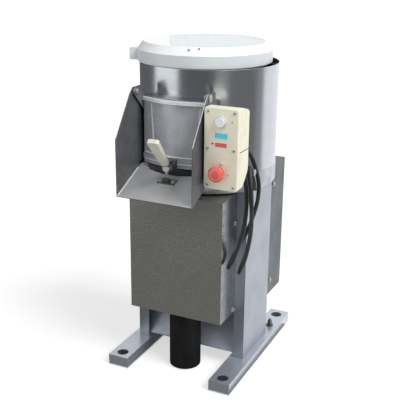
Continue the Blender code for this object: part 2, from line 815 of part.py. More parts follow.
def drain_pipe():
    put("drain_pipe", sleeve(PIPE_BORE, PIPE_RADIUS, PIPE_BOTTOM, PIPE_TOP, "z", DRAIN, MAIN_STEPS),
        BLACK_RUBBER, smooth=True)
    inner = PIPE_RADIUS + GAP
    low = PIPE_TOP - CLAMP_DROP - CLAMP_HEIGHT
    clamp = put("drain_clamp", sleeve(inner, inner + CLAMP_SHEET, low, low + CLAMP_HEIGHT, "z", DRAIN,
                                      MAIN_STEPS), ZINC, smooth=True)
    unite(clamp, block((DRAIN_X + inner + CLAMP_SHEET / 2, DRAIN_X + inner + CLAMP_LUG),
                       (DRAIN_Y - CLAMP_LUG / 2, DRAIN_Y + CLAMP_LUG / 2),
                       (low + CLAMP_SHEET, low + CLAMP_HEIGHT - CLAMP_SHEET)))


# Bearings and main shaft

def bearing_housing():
    top = LEG_TOP
    low_seat = HOUSING_BOTTOM + BEARING_WIDTH
    high_seat = HOUSING_NECK_TOP - SEAL_HEIGHT - BEARING_WIDTH - GAP * 2
    put("bearing_housing", turned([
        (SEAT_RADIUS, HOUSING_BOTTOM), (HOUSING_RADIUS, HOUSING_BOTTOM),
        (HOUSING_RADIUS, top - HOUSING_FLANGE), (HOUSING_FLANGE_RADIUS, top - HOUSING_FLANGE),
        (HOUSING_FLANGE_RADIUS, top), (HOUSING_NECK_RADIUS, top),
        (HOUSING_NECK_RADIUS, HOUSING_NECK_TOP), (SEAT_RADIUS, HOUSING_NECK_TOP),
        (SEAT_RADIUS, high_seat), (HOUSING_BORE, high_seat), (HOUSING_BORE, low_seat),
        (SEAT_RADIUS, low_seat),
    ], "z", DRUM, MAIN_STEPS), CAST_IRON, smooth=True)
    outer = SEAT_RADIUS - GAP
    bore = SHAFT_RADIUS + GAP
    put("lower_bearing", sleeve(bore, outer, HOUSING_BOTTOM, low_seat - GAP, "z", DRUM, MAIN_STEPS),
        ZINC, smooth=True)
    put("upper_bearing", sleeve(bore, outer, high_seat + GAP, high_seat + GAP + BEARING_WIDTH, "z", DRUM,
                                MAIN_STEPS), ZINC, smooth=True)
    put("shaft_seal", sleeve(bore, outer, HOUSING_NECK_TOP - SEAL_HEIGHT, HOUSING_NECK_TOP, "z", DRUM,
                             MAIN_STEPS), BLACK_RUBBER, smooth=True)


def main_shaft():
    put("main_shaft", turned([
        (0.0, SHAFT_BOTTOM), (SHAFT_RADIUS, SHAFT_BOTTOM), (SHAFT_RADIUS, SHAFT_SHOULDER),
        (SHAFT_TOP_RADIUS, SHAFT_SHOULDER), (SHAFT_TOP_RADIUS, SHAFT_TOP), (0.0, SHAFT_TOP),
    ], "z", DRUM, MAIN_STEPS), STEEL, origin=(0.0, DRUM_Y, SHAFT_BOTTOM), smooth=True)


def grooved(pitch, bore, hub_low, hub_high):
    """Profile of a pulley with one vee groove and a hub of its own height."""
    rim = pitch + RIM_OVER_PITCH
    hub = min(PULLEY_HUB_RADIUS, pitch - GROOVE_UNDER_PITCH * 2)
    top = PULLEY_BOTTOM + PULLEY_WIDTH
    profile = [(bore, hub_low), (hub, hub_low)]
    if hub_low < PULLEY_BOTTOM:
        profile.append((hub, PULLEY_BOTTOM))
    profile += [
        (rim, PULLEY_BOTTOM), (rim, GROOVE_Z - GROOVE_HALF_OUT),
        (pitch - GROOVE_UNDER_PITCH, GROOVE_Z - GROOVE_HALF_IN),
        (pitch - GROOVE_UNDER_PITCH, GROOVE_Z + GROOVE_HALF_IN),
        (rim, GROOVE_Z + GROOVE_HALF_OUT), (rim, top),
    ]
    if hub_high > top:
        profile.append((hub, top))
    profile += [(hub, hub_high), (bore, hub_high)]
    return profile


def pulleys():
    put("driven_pulley", turned(
        grooved(DRIVEN_PITCH, SHAFT_RADIUS + GAP, PULLEY_BOTTOM - PULLEY_WIDTH / 4, HOUSING_BOTTOM - GAP),
        "z", DRUM, MAIN_STEPS), CAST_IRON, origin=(0.0, DRUM_Y, GROOVE_Z), smooth=True)
    top = PULLEY_BOTTOM + PULLEY_WIDTH + PULLEY_WIDTH / 4
    put("motor_pulley", turned(
        grooved(MOTOR_PITCH, MOTOR_SHAFT_RADIUS + GAP, PULLEY_BOTTOM - PULLEY_WIDTH / 4, top),
        "z", MOTOR, MAIN_STEPS), CAST_IRON, origin=(0.0, MOTOR_Y, GROOVE_Z), smooth=True)


def v_belt():
    """Belt round both pulleys: a tapered section lofted along two arcs and two tangents."""
    distance = MOTOR_Y - DRUM_Y
    wrap = math.degrees(math.acos((DRIVEN_PITCH - MOTOR_PITCH) / distance))
    stations = []
    for middle, pitch, start, end, steps in (
            (DRUM_Y, DRIVEN_PITCH, 90 + wrap, 450 - wrap, MAIN_STEPS - 8),
            (MOTOR_Y, MOTOR_PITCH, 90 - wrap, 90 + wrap, TINY_STEPS)):
        for index in range(steps + 1):
            angle = math.radians(start + (end - start) * index / steps)
            stations.append((middle, pitch, angle))
    section = (
        (BELT_OVER_PITCH, BELT_HALF_OUT), (BELT_OVER_PITCH, -BELT_HALF_OUT),
        (-BELT_UNDER_PITCH, -BELT_HALF_IN), (-BELT_UNDER_PITCH, BELT_HALF_IN),
    )
    bm = bmesh.new()
    rings = []
    for middle, pitch, angle in stations:
        ring = []
        for out, up in section:
            radius = pitch + out
            ring.append(bm.verts.new((radius * math.cos(angle), middle + radius * math.sin(angle),
                                      GROOVE_Z + up)))
        rings.append(ring)
    for here, there in zip(rings, rings[1:] + rings[:1]):
        for index in range(len(section)):
            after = (index + 1) % len(section)
            bm.faces.new((here[index], here[after], there[after], there[index]))
    put("v_belt", bm, BLACK_RUBBER, smooth=True)


# Motor

def motor_plate():
    low = MOTOR_PLATE_TOP - MOTOR_PLATE_SHEET
    inside = LEG_REAR - LEG_WALL - GAP
    wide = WEB_INNER - GAP
    half = MOTOR_PLATE_HALF
    outline = [
        (-wide, MOTOR_PLATE_FRONT), (wide, MOTOR_PLATE_FRONT), (wide, inside), (half, inside),
        (half, MOTOR_PLATE_REAR), (-half, MOTOR_PLATE_REAR), (-half, inside), (-wide, inside),
    ]
    plate = put("motor_plate", prism(outline, "z", low, MOTOR_PLATE_TOP), FRAME_PAINT)
    cut(plate, rod(MOTOR_REGISTER, low - OVERRUN, MOTOR_PLATE_TOP + OVERRUN, "z", MOTOR, MAIN_STEPS))


def motor():
    top = MOTOR_PLATE_TOP - MOTOR_PLATE_SHEET - GAP
    bore = MOTOR_SHAFT_RADIUS + GAP
    body = put("motor_body", turned([
        (bore, MOTOR_BOTTOM), (MOTOR_RADIUS, MOTOR_BOTTOM), (MOTOR_RADIUS, top - MOTOR_FLANGE),
        (MOTOR_FLANGE_RADIUS, top - MOTOR_FLANGE), (MOTOR_FLANGE_RADIUS, top), (bore, top),
    ], "z", MOTOR, MAIN_STEPS), MOTOR_PAINT, smooth=True)
    unite(body, block((MOTOR_RADIUS - TERMINAL_REACH, TERMINAL_OUT),
                      (MOTOR_Y - TERMINAL_HALF, MOTOR_Y + TERMINAL_HALF), (TERMINAL_BOTTOM, TERMINAL_TOP)))
    shaft_top = PULLEY_BOTTOM + PULLEY_WIDTH * 1.5
    put("motor_shaft", rod(MOTOR_SHAFT_RADIUS, MOTOR_SHAFT_BOTTOM, shaft_top, "z", MOTOR, MAIN_STEPS),
        STEEL, origin=(0.0, MOTOR_Y, MOTOR_SHAFT_BOTTOM), smooth=True)


def motor_cowl():
    top = MOTOR_BOTTOM - GAP
    put("motor_cowl", turned([
        (COWL_HOLE, COWL_BOTTOM), (MOTOR_RADIUS, COWL_BOTTOM), (MOTOR_RADIUS, top),
        (MOTOR_RADIUS - COWL_SHEET, top), (MOTOR_RADIUS - COWL_SHEET, COWL_BOTTOM + COWL_SHEET),
        (COWL_HOLE, COWL_BOTTOM + COWL_SHEET),
    ], "z", MOTOR, MAIN_STEPS), BLACK_PLASTIC, smooth=True)


def motor_fan():
    low = MOTOR_SHAFT_BOTTOM + FAN_PLATE
    fan = put("motor_fan", turned([
        (MOTOR_SHAFT_RADIUS + GAP, low), (FAN_RADIUS, low), (FAN_RADIUS, low + FAN_PLATE),
        (FAN_HUB, low + FAN_PLATE), (FAN_HUB, low + FAN_HEIGHT), (MOTOR_SHAFT_RADIUS + GAP, low + FAN_HEIGHT),
    ], "z", MOTOR, MAIN_STEPS), BLACK_PLASTIC, origin=(0.0, MOTOR_Y, low))
    for index in range(FAN_BLADES):
        blade = block((FAN_HUB - FAN_BLADE, FAN_RADIUS - FAN_BLADE), (-FAN_BLADE / 2, FAN_BLADE / 2),
                      (low + FAN_PLATE / 2, low + FAN_HEIGHT - FAN_BLADE))
        turn = Matrix.Rotation(2 * math.pi * index / FAN_BLADES, 3, "Z")
        bmesh.ops.rotate(blade, verts=blade.verts, matrix=turn)
        bmesh.ops.translate(blade, verts=blade.verts, vec=(0.0, MOTOR_Y, 0.0))
        unite(fan, blade)


# Abrasive disc

def abrasive_disc():
    bore = SHAFT_TOP_RADIUS + GAP
    hub_low = SHAFT_SHOULDER + GAP
    top = DISC_BOTTOM + DISC_THICKNESS
    disc = put("abrasive_disc", turned([
        (bore, hub_low), (DISC_HUB_RADIUS, hub_low), (DISC_HUB_RADIUS, DISC_BOTTOM),
        (DISC_RADIUS, DISC_BOTTOM), (DISC_RADIUS, top), (bore, top),
    ], "z", DRUM, FINE_STEPS), ABRASIVE, origin=(0.0, DRUM_Y, DISC_BOTTOM), smooth=True)
    for index in range(DISC_LOBES):
        angle = 2 * math.pi * index / DISC_LOBES
        lobe = prism([(-DISC_LOBE_HALF, top - DISC_LOBE_HEIGHT / 2), (DISC_LOBE_HALF, top - DISC_LOBE_HEIGHT / 2),
                      (0.0, top + DISC_LOBE_HEIGHT)], "y", DISC_LOBE_START, DISC_LOBE_END)
        bmesh.ops.rotate(lobe, verts=lobe.verts, matrix=Matrix.Rotation(angle, 3, "Z"))
        bmesh.ops.translate(lobe, verts=lobe.verts, vec=(0.0, DRUM_Y, 0.0))
        unite(disc, lobe)


def disc_nut():
    low = DISC_BOTTOM + DISC_THICKNESS + GAP
    bore = SHAFT_TOP_RADIUS + GAP
    hex_top = low + NUT_HEX_HEIGHT
    nut = put("disc_nut", rod(NUT_RADIUS, low, hex_top, "z", DRUM, HEX_STEPS), STEEL,
              origin=(0.0, DRUM_Y, low))
    dome = NUT_HEIGHT - NUT_HEX_HEIGHT
    unite(nut, turned([
        (0.0, hex_top - NUT_HEX_HEIGHT / 2), (NUT_DOME_RADIUS, hex_top - NUT_HEX_HEIGHT / 2),
        (NUT_DOME_RADIUS, hex_top + dome / 2), (NUT_DOME_RADIUS / 2, hex_top + dome), (0.0, hex_top + dome),
    ], "z", DRUM, SMALL_STEPS))
    cut(nut, rod(bore, low - OVERRUN, SHAFT_TOP + GAP, "z", DRUM, SMALL_STEPS))


# Lid

def lid_frame(bm):
    """Turns a shape whose lug points along +X to the way the lid lies on the drum."""
    bmesh.ops.rotate(bm, verts=bm.verts, matrix=Matrix.Rotation(LID_TURN, 3, "Z"))
    bmesh.ops.translate(bm, verts=bm.verts, vec=(LID_X, DRUM_Y, 0.0))
    return bm


def window_outline(radius, chord, steps=24):
    """Circle with a straight side where x reaches the chord; the lug lies beyond it."""
    half = math.degrees(math.acos(chord / radius))
    return arc_points((0.0, 0.0), radius, half, 360 - half, steps)


def lid():
    bottom = DRUM_TOP + GAP
    ring_inner = LID_RADIUS - LID_SKIRT
    under = LID_RIM_TOP - LID_SKIN - LID_RECESS
    origin = (LID_X, DRUM_Y, bottom)
    shell = put("lid", lid_frame(turned([
        (0.0, LID_RIM_TOP - LID_SKIN - LID_RECESS), (LID_COLLAR_RADIUS - LID_COLLAR_WALL, under),
        (LID_COLLAR_RADIUS - LID_COLLAR_WALL, bottom - LID_COLLAR_DROP),
        (LID_COLLAR_RADIUS, bottom - LID_COLLAR_DROP), (LID_COLLAR_RADIUS, bottom),
        (LID_RADIUS, bottom), (LID_RADIUS, LID_SHOULDER - LID_EDGE),
        (LID_RADIUS - LID_EDGE, LID_SHOULDER), (LID_RIM_RADIUS, LID_RIM_TOP), (0.0, LID_RIM_TOP),
    ], steps=FINE_STEPS)), LID_PLASTIC, origin=origin, smooth=True)
    helper = unite(shell, lid_frame(block(
        (ring_inner, LUG_REACH), (-LUG_HALF, LUG_HALF), (bottom + LUG_DROP, LID_SHOULDER - LUG_RISE))))
    radius = LID_RIM_RADIUS - LID_RIM_LAND
    top = LID_RIM_TOP + OVERRUN
    cut(helper,
        lid_frame(prism(window_outline(radius, LID_CHORD), "z", LID_RIM_TOP - LID_RECESS, top)),
        lid_frame(prism(window_outline(radius - LID_LEDGE, LID_CHORD - LID_LEDGE), "z",
                        under - OVERRUN, top)))
    put("lid_window", lid_frame(prism(window_outline(radius - GAP, LID_CHORD - GAP), "z",
                                      LID_RIM_TOP - LID_RECESS + GAP,
                                      LID_RIM_TOP - LID_RECESS + GAP + LID_WINDOW_SHEET)),
        WINDOW, origin=origin)


# Outlet neck and gasket

def outlet_neck():
    inner = NECK_HALF - NECK_SHEET
    rear = -DRUM_RADIUS / 2
    neck = put("outlet_neck", block((-NECK_HALF, NECK_HALF), (NECK_FRONT, rear), (NECK_BOTTOM, NECK_TOP)),
               STAINLESS)
    low = NECK_BOTTOM + NECK_SHEET
    high = NECK_TOP - NECK_SHEET
    front = prism([(-inner, NECK_FRONT - OVERRUN)]
                  + [(DRUM[0] + x, y) for x, y in ledge_points(inner)]
                  + [(inner, NECK_FRONT - OVERRUN)], "z", NECK_BOTTOM - OVERRUN, NECK_TOP + OVERRUN)
    cut(neck,
        block((-inner, inner), (NECK_FRONT - OVERRUN, rear + OVERRUN), (low, high)),
        rod(DRUM_RADIUS + GAP, NECK_BOTTOM - OVERRUN, NECK_TOP + OVERRUN, "z", DRUM, FINE_STEPS),
        front)


def ledge_points(inner):
    """Front edge of the neck's ledges, concentric with the drum."""
    half = math.degrees(math.asin(inner / NECK_LEDGE_RADIUS))
    return arc_points(DRUM, NECK_LEDGE_RADIUS, 270 - half, 270 + half, SMALL_STEPS)


def door_gasket():
    low = DRUM_RADIUS + GAP
    high = DOOR_INNER_RADIUS - GAP
    gasket = put("door_gasket", bent(
        [(low, GASKET_BOTTOM), (high, GASKET_BOTTOM), (high, GASKET_TOP), (low, GASKET_TOP)],
        math.asin(GASKET_HALF / high), SMALL_STEPS), BLACK_RUBBER, smooth=True)
    cut(gasket, opening_cutter_front())


def opening_cutter_front():
    outline = rounded((-OPENING_HALF - GASKET_LIP, OPENING_BOTTOM - GASKET_LIP / 3),
                      (OPENING_HALF + GASKET_LIP, OPENING_TOP + GASKET_LIP / 3), OPENING_CORNER)
    return prism(outline, "y", -DOOR_INNER_RADIUS - OVERRUN, -DRUM_RADIUS / 2)


# Door

def door():
    inner = DOOR_INNER_RADIUS
    field = inner + DOOR_PLATE
    band = field + DOOR_BAND_PROUD
    rim = field + DOOR_RIM_PROUD
    foot = field + DOOR_FOOT_PROUD
    band_low = DOOR_TOP - DOOR_BAND
    thing = put("door", bent([
        (inner, DOOR_BOTTOM), (foot, DOOR_BOTTOM), (foot, DOOR_RIM_STEP), (rim, DOOR_RIM_STEP),
        (rim, DOOR_RIM_TOP), (field, DOOR_RIM_TOP), (field, band_low), (band, band_low),
        (band, DOOR_TOP), (inner, DOOR_TOP),
    ], math.asin(DOOR_HALF / rim), SMALL_STEPS + 4), STAINLESS,
        origin=(0.0, PIVOT_Y, PIVOT_Z), smooth=True)
    eye = arc_points((PIVOT_Y, PIVOT_Z), PIVOT_EYE, 225, 50, SMALL_STEPS)
    outline = [(ARM_BACK, ARM_FOOT), (ARM_BACK - ARM_WELD, ARM_FOOT)] + eye + [(ARM_BACK, DOOR_TOP)]
    for side in (-1, 1):
        unite(thing, prism(outline, "x", *span(side, ARM_OUTER - ARM_SHEET, ARM_OUTER)))
    cut(thing, both_sides(lambda side: rod(
        PIVOT_STUD + GAP, *span(side, ARM_OUTER - ARM_SHEET - OVERRUN, ARM_OUTER + OVERRUN), "x",
        (PIVOT_Y, PIVOT_Z))))


def pivot_bolts():
    head = CHUTE_OUTER + GAP
    crown = head + PIVOT_HEAD_HEIGHT
    collar = ARM_OUTER + GAP
    nut_high = ARM_OUTER - ARM_SHEET - GAP
    nut_low = nut_high - PIVOT_NUT_HEIGHT
    tip = nut_low - PIVOT_STUD_SPARE
    place = (PIVOT_Y, PIVOT_Z)
    for side, label in ((-1, "left"), (1, "right")):
        put(f"pivot_bolt_{label}", turned([
            (0.0, side * tip), (PIVOT_STUD, side * tip), (PIVOT_STUD, side * collar),
            (PIVOT_COLLAR, side * collar), (PIVOT_COLLAR, side * head), (PIVOT_HEAD, side * head),
            (PIVOT_HEAD, side * (head + PIVOT_HEAD_HEIGHT / 2)), (PIVOT_HEAD / 2, side * crown),
            (0.0, side * crown),
        ], "x", place, SMALL_STEPS), ZINC, smooth=True)
        nut = put(f"pivot_nut_{label}", rod(PIVOT_NUT, *span(side, nut_low, nut_high), "x", place,
                                            HEX_STEPS), ZINC)
        cut(nut, rod(PIVOT_STUD + GAP, *span(side, nut_low - OVERRUN, nut_high + OVERRUN), "x", place))


# Chute

def chute_floor_z(y):
    return CHUTE_FOOT_Z + (y - CHUTE_FRONT) * math.tan(CHUTE_SLOPE)


def chute():
    rear_z = chute_floor_z(CHUTE_REAR)
    wall = [
        (CHUTE_REAR, CHUTE_EAR_TOP), (CHUTE_EAR_FRONT, CHUTE_EAR_TOP),
        (CHUTE_SHOULDER_Y, CHUTE_SHOULDER_Z), (CHUTE_KNEE_Y, CHUTE_KNEE_Z),
        (CHUTE_FRONT, CHUTE_KNEE_Z - CHUTE_SHEET), (CHUTE_FRONT, CHUTE_FOOT_Z - CHUTE_SHEET),
        (CHUTE_REAR, rear_z - CHUTE_SHEET),
    ]
    floor = [
        (CHUTE_FRONT, CHUTE_FOOT_Z - CHUTE_SHEET), (CHUTE_REAR, rear_z - CHUTE_SHEET),
        (CHUTE_REAR, rear_z), (CHUTE_FRONT, CHUTE_FOOT_Z),
    ]
    thing = put("chute", prism(floor, "x", -CHUTE_INNER - CHUTE_SHEET / 2, CHUTE_INNER + CHUTE_SHEET / 2),
                CHUTE_PAINT)
    cut(thing, rod(CHUTE_FLOOR_RADIUS, CHUTE_FOOT_Z, rear_z + OVERRUN, "z", DRUM, FINE_STEPS))
    for side in (-1, 1):
        unite(thing, prism(wall, "x", *span(side, CHUTE_INNER, CHUTE_OUTER)))
    cut(thing,
        both_sides(lambda side: rod(PIVOT_COLLAR + GAP, *span(side, CHUTE_INNER - OVERRUN,
                                                              CHUTE_OUTER + OVERRUN), "x",
                                    (PIVOT_Y, PIVOT_Z))))


def on_chute(bm):
    """Lays a shape built about the keeper's middle, z up, on the sloping floor."""
    bmesh.ops.rotate(bm, verts=bm.verts, matrix=Matrix.Rotation(CHUTE_SLOPE, 3, "X"))
    bmesh.ops.translate(bm, verts=bm.verts, vec=(0.0, KEEPER_Y, chute_floor_z(KEEPER_Y)))
    return bm


# Latch

def latch_bracket():
    rim = DOOR_INNER_RADIUS + DOOR_PLATE + DOOR_RIM_PROUD
    back = DRUM_Y - rim - GAP
    front = back - BRACKET_BASE
    inner = LATCH_HALF + LATCH_SIDE_GAP
    eye = arc_points((LATCH_Y, LATCH_Z), CHEEK_EYE, 90, 270, SMALL_STEPS)
    outline = [(front, LATCH_Z + CHEEK_EYE)] + eye + [(front, BRACKET_BOTTOM)]
    outer = inner + CHEEK_SHEET
    saddle = [
        (-BRACKET_HALF, back), (-BRACKET_HALF, front), (-outer, front), (-inner, front), (inner, front),
        (outer, front), (BRACKET_HALF, front), (BRACKET_HALF, back),
    ]
    base = put("latch_bracket", prism(saddle, "z", BRACKET_BOTTOM, BRACKET_TOP), ZINC,
               origin=(0.0, PIVOT_Y, PIVOT_Z))
    cheek = [(front + BRACKET_BASE / 2, LATCH_Z + CHEEK_EYE)] + outline[1:-1]
    cheek.append((front + BRACKET_BASE / 2, BRACKET_BOTTOM + GAP))
    for side in (-1, 1):
        unite(base, prism(cheek, "x", *span(side, inner, outer)))
    cut(base, rod(LATCH_PIN + GAP, -BRACKET_HALF, BRACKET_HALF, "x", (LATCH_Y, LATCH_Z)))


def latch_pin():
    near = LATCH_HALF + LATCH_SIDE_GAP + CHEEK_SHEET + GAP
    far = near + LATCH_PIN_HEAD_HEIGHT
    put("latch_pin", turned([
        (0.0, -far), (LATCH_PIN_HEAD, -far), (LATCH_PIN_HEAD, -near), (LATCH_PIN, -near),
        (LATCH_PIN, near), (LATCH_PIN_HEAD, near), (LATCH_PIN_HEAD, far), (0.0, far),
    ], "x", (LATCH_Y, LATCH_Z), SMALL_STEPS), ZINC, origin=(0.0, PIVOT_Y, PIVOT_Z), smooth=True)


def along_lever(bm):
    """Turns a shape built along +Z about the latch's axis to the lever's rest angle."""
    turn = Matrix.Rotation(math.pi / 2 - LEVER_RISE, 3, "X")
    bmesh.ops.rotate(bm, verts=bm.verts, matrix=turn)
    bmesh.ops.translate(bm, verts=bm.verts, vec=(0.0, LATCH_Y, LATCH_Z))
    return bm


def latch_lever():
    origin = (0.0, LATCH_Y, LATCH_Z)
    grip_start = COLLAR_AT + COLLAR_LENGTH
    lever = put("latch_lever", rod(LATCH_BOSS, -LATCH_HALF, LATCH_HALF, "x", (LATCH_Y, LATCH_Z),
                                   SMALL_STEPS), STEEL, origin=origin, smooth=True)
    unite(lever,
          along_lever(block((-LEVER_NECK_WIDE, LEVER_NECK_WIDE), (-LEVER_NECK_HALF, LEVER_NECK_HALF),
                            (0.0, COLLAR_AT + COLLAR_LENGTH / 2))),
          along_lever(block((-COLLAR_HALF_WIDTH, COLLAR_HALF_WIDTH), (-COLLAR_HALF_THICK, COLLAR_HALF_THICK),
                            (COLLAR_AT, grip_start))),
          along_lever(block((-TANG_HALF_WIDTH, TANG_HALF_WIDTH), (-TANG_HALF_THICK, TANG_HALF_THICK),
                            (COLLAR_AT + COLLAR_LENGTH / 2, grip_start + TANG_LENGTH))),
          block((-TONGUE_HALF, TONGUE_HALF), (LATCH_Y - TONGUE_HALF, LATCH_Y + TONGUE_HALF / 2),
                (LATCH_Z - TONGUE_LENGTH, LATCH_Z)))
    cut(lever, rod(LATCH_PIN + GAP, -LATCH_HALF - OVERRUN, LATCH_HALF + OVERRUN, "x", (LATCH_Y, LATCH_Z)))


def latch_grip():
    start = COLLAR_AT + COLLAR_LENGTH + GAP
    outline = [(-GRIP_HALF_ROOT, start), (GRIP_HALF_ROOT, start)]
    outline += arc_points((GRIP_HALF_END - GRIP_CORNER, GRIP_END - GRIP_CORNER), GRIP_CORNER, 0, 90, 4)
    outline += arc_points((GRIP_CORNER - GRIP_HALF_END, GRIP_END - GRIP_CORNER), GRIP_CORNER, 90, 180, 4)
    grip = put("latch_grip", along_lever(prism(outline, "y", -GRIP_HALF_THICK, GRIP_HALF_THICK)),
               BEIGE_PLASTIC, origin=(0.0, LATCH_Y, LATCH_Z))
    cut(grip, along_lever(block(
        (-TANG_HALF_WIDTH - GAP, TANG_HALF_WIDTH + GAP), (-TANG_HALF_THICK - GAP, TANG_HALF_THICK + GAP),
        (start - OVERRUN, start + TANG_LENGTH + GAP))))


def latch_keeper():
    top = GAP + KEEPER_SHEET
    keeper = put("latch_keeper", on_chute(block(
        (-KEEPER_HALF_WIDTH, KEEPER_HALF_WIDTH), (-KEEPER_HALF_DEPTH, KEEPER_HALF_DEPTH), (GAP, top))), ZINC)
    unite(keeper, on_chute(block(
        (-KEEPER_LUG_HALF, KEEPER_LUG_HALF), (-KEEPER_LUG_DEPTH, KEEPER_LUG_DEPTH / 2),
        (top / 2, KEEPER_LUG_HEIGHT))))


# Control box

def box_screw_spots():
    return [(BOX_MIDDLE + side * BOX_SCREW_X, z) for side in (-1, 1) for z in BOX_SCREW_ROWS]


def box_taper(wall):
    """What the sloping heel and crown take off the box's back corners, moved in by a wall's thickness."""
    back = BOX_BACK + OVERRUN
    under = BOX_BOTTOM - OVERRUN
    over = BOX_TOP + OVERRUN
    heel = [(y - wall, z + wall) for y, z in BOX_HEEL]
    crown = [(y - wall, z - wall) for y, z in BOX_CROWN]
    below = [(heel[0][0], under)] + heel + [(back, heel[-1][1]), (back, under)]
    above = [(crown[0][0], over)] + crown + [(back, crown[-1][1]), (back, over)]
    low = BOX_LEFT - OVERRUN
    high = BOX_RIGHT + OVERRUN
    return together([prism(below, "x", low, high), prism(above, "x", low, high)])


def control_box():
    split = BOX_FACE + BOX_LID
    front = split + GAP
    low = (BOX_LEFT, BOX_BOTTOM)
    high = (BOX_RIGHT, BOX_TOP)
    inner_low = (BOX_LEFT + BOX_WALL, BOX_BOTTOM + BOX_WALL)
    inner_high = (BOX_RIGHT - BOX_WALL, BOX_TOP - BOX_WALL)
    body = put("control_box_body", prism(rounded(low, high, BOX_CORNER), "y", front, BOX_BACK), BOX_PLASTIC)
    hollow = combine(body, prism(rounded(inner_low, inner_high, BOX_CORNER - BOX_WALL), "y",
                                 front - OVERRUN, BOX_BACK - BOX_WALL), "DIFFERENCE")
    cut(hollow, box_taper(BOX_WALL))
    deep = front + BOX_SCREW_BITE + OVERRUN
    for spot in box_screw_spots():
        unite(body, rod(BOX_BOSS, front, BOX_BACK - BOX_WALL / 2, "y", spot, TINY_STEPS))
    cut(body, box_taper(0.0))
    cut(body, together([rod(SMALL_SCREW_RADIUS, front - OVERRUN, deep, "y", spot, TINY_STEPS)
                        for spot in box_screw_spots()]),
        rod(GLAND_THREAD + GAP, BOX_BACK - BOX_WALL - OVERRUN, BOX_BACK + OVERRUN, "y",
            (GLAND_X, GLAND_Z)))
    cover = put("control_box_lid", prism(rounded(low, high, BOX_CORNER), "y", BOX_FACE, split), BOX_PLASTIC)
    cut(cover,
        prism(rounded(inner_low, inner_high, BOX_CORNER - BOX_WALL), "y", BOX_FACE + BOX_WALL,
              split + OVERRUN))
    for spot in box_screw_spots():
        unite(cover, rod(BOX_BOSS, BOX_FACE + BOX_WALL / 2, split, "y", spot, TINY_STEPS))
    cut(cover,
        together([rod(SMALL_SCREW_RADIUS, BOX_FACE - OVERRUN, split + OVERRUN, "y", spot, TINY_STEPS)
                  for spot in box_screw_spots()]),
        rod(BEZEL_NECK + GAP, BOX_FACE - OVERRUN, split + OVERRUN, "y", (BOX_MIDDLE, START_Z)),
        rod(BEZEL_NECK + GAP, BOX_FACE - OVERRUN, split + OVERRUN, "y", (ESTOP_X, ESTOP_Z)),
        rod(LAMP_STEM + GAP, BOX_FACE - OVERRUN, split + OVERRUN, "y", (lamp_x(), LAMP_Z), TINY_STEPS))


def lamp_x():
    return BOX_MIDDLE + LAMP_RADIUS


def button_bezel(name, place, paint):
    face = BOX_FACE - GAP
    put(name, turned([
        (BEZEL_BORE, face + NECK_DEPTH), (BEZEL_NECK, face + NECK_DEPTH), (BEZEL_NECK, face),
        (BEZEL_RADIUS, face), (BEZEL_RADIUS, face - BEZEL_HEIGHT), (BEZEL_RING, face - BEZEL_HEIGHT),
        (BEZEL_RING, face - BEZEL_WEB), (BEZEL_BORE, face - BEZEL_WEB),
    ], "y", place, SMALL_STEPS), paint, smooth=True)


def start_button():
    place = (BOX_MIDDLE, START_Z)
    button_bezel("start_bezel", place, CHROME)
    back = BOX_FACE - GAP - BEZEL_WEB - GAP - START_TRAVEL
    front = back - CAP_HEIGHT
    put("start_button", turned([
        (0.0, front), (CAP_RADIUS - CAP_PROUD, front), (CAP_RADIUS, front + CAP_PROUD),
        (CAP_RADIUS, back), (STEM_RADIUS, back), (STEM_RADIUS, BOX_FACE + STEM_DEPTH),
        (0.0, BOX_FACE + STEM_DEPTH),
    ], "y", place, SMALL_STEPS), WHITE_PLASTIC, origin=(BOX_MIDDLE, back, START_Z), smooth=True)


def emergency_stop():
    place = (ESTOP_X, ESTOP_Z)
    button_bezel("estop_bezel", place, RED_PLASTIC)
    back = BOX_FACE - GAP - BEZEL_HEIGHT - GAP - ESTOP_TRAVEL
    front = back - ESTOP_HEAD
    shoulder = front + ESTOP_HEAD / 2
    bore_end = back - ESTOP_HEAD / 2
    put("estop_stem", rod(STEM_RADIUS, bore_end + GAP, BOX_FACE + STEM_DEPTH, "y", place, SMALL_STEPS),
        BLACK_PLASTIC, origin=(ESTOP_X, back, ESTOP_Z), smooth=True)
    put("estop_head", turned([
        (0.0, front), (ESTOP_RADIUS * 0.7, front), (ESTOP_RADIUS * 0.94, front + ESTOP_HEAD / 6),
        (ESTOP_RADIUS, front + ESTOP_HEAD / 3), (ESTOP_RADIUS, shoulder), (ESTOP_SKIRT, back),
        (STEM_RADIUS + GAP, back), (STEM_RADIUS + GAP, bore_end), (0.0, bore_end),
    ], "y", place, MAIN_STEPS), RED_PLASTIC, origin=(ESTOP_X, back, ESTOP_Z), smooth=True)


def contact_block():
    """Both buttons' contacts on one upright strip inside the box."""
    front = BOX_FACE + NECK_DEPTH
    spots = ((BOX_MIDDLE, START_Z), (ESTOP_X, ESTOP_Z))
    strip_back = BOX_BACK - BOX_WALL - GAP
    strip = put("contact_block", block((BOX_MIDDLE - STRIP_WIDTH, BOX_MIDDLE),
                                       (strip_back - STRIP_SHEET, strip_back), (ESTOP_Z, START_Z)),
                BLACK_PLASTIC)
    for x, z in spots:
        unite(strip, block((x - CONTACT_HALF, x + CONTACT_HALF), (front, strip_back - STRIP_SHEET / 2),
                           (z - CONTACT_HALF, z + CONTACT_HALF)))
    deep = BOX_FACE + STEM_DEPTH + max(START_TRAVEL, ESTOP_TRAVEL) + CONTACT_MARGIN
    cut(strip, together([rod(BEZEL_BORE, front - OVERRUN, deep, "y", spot) for spot in spots]))
    cut(strip, box_taper(BOX_WALL + GAP))


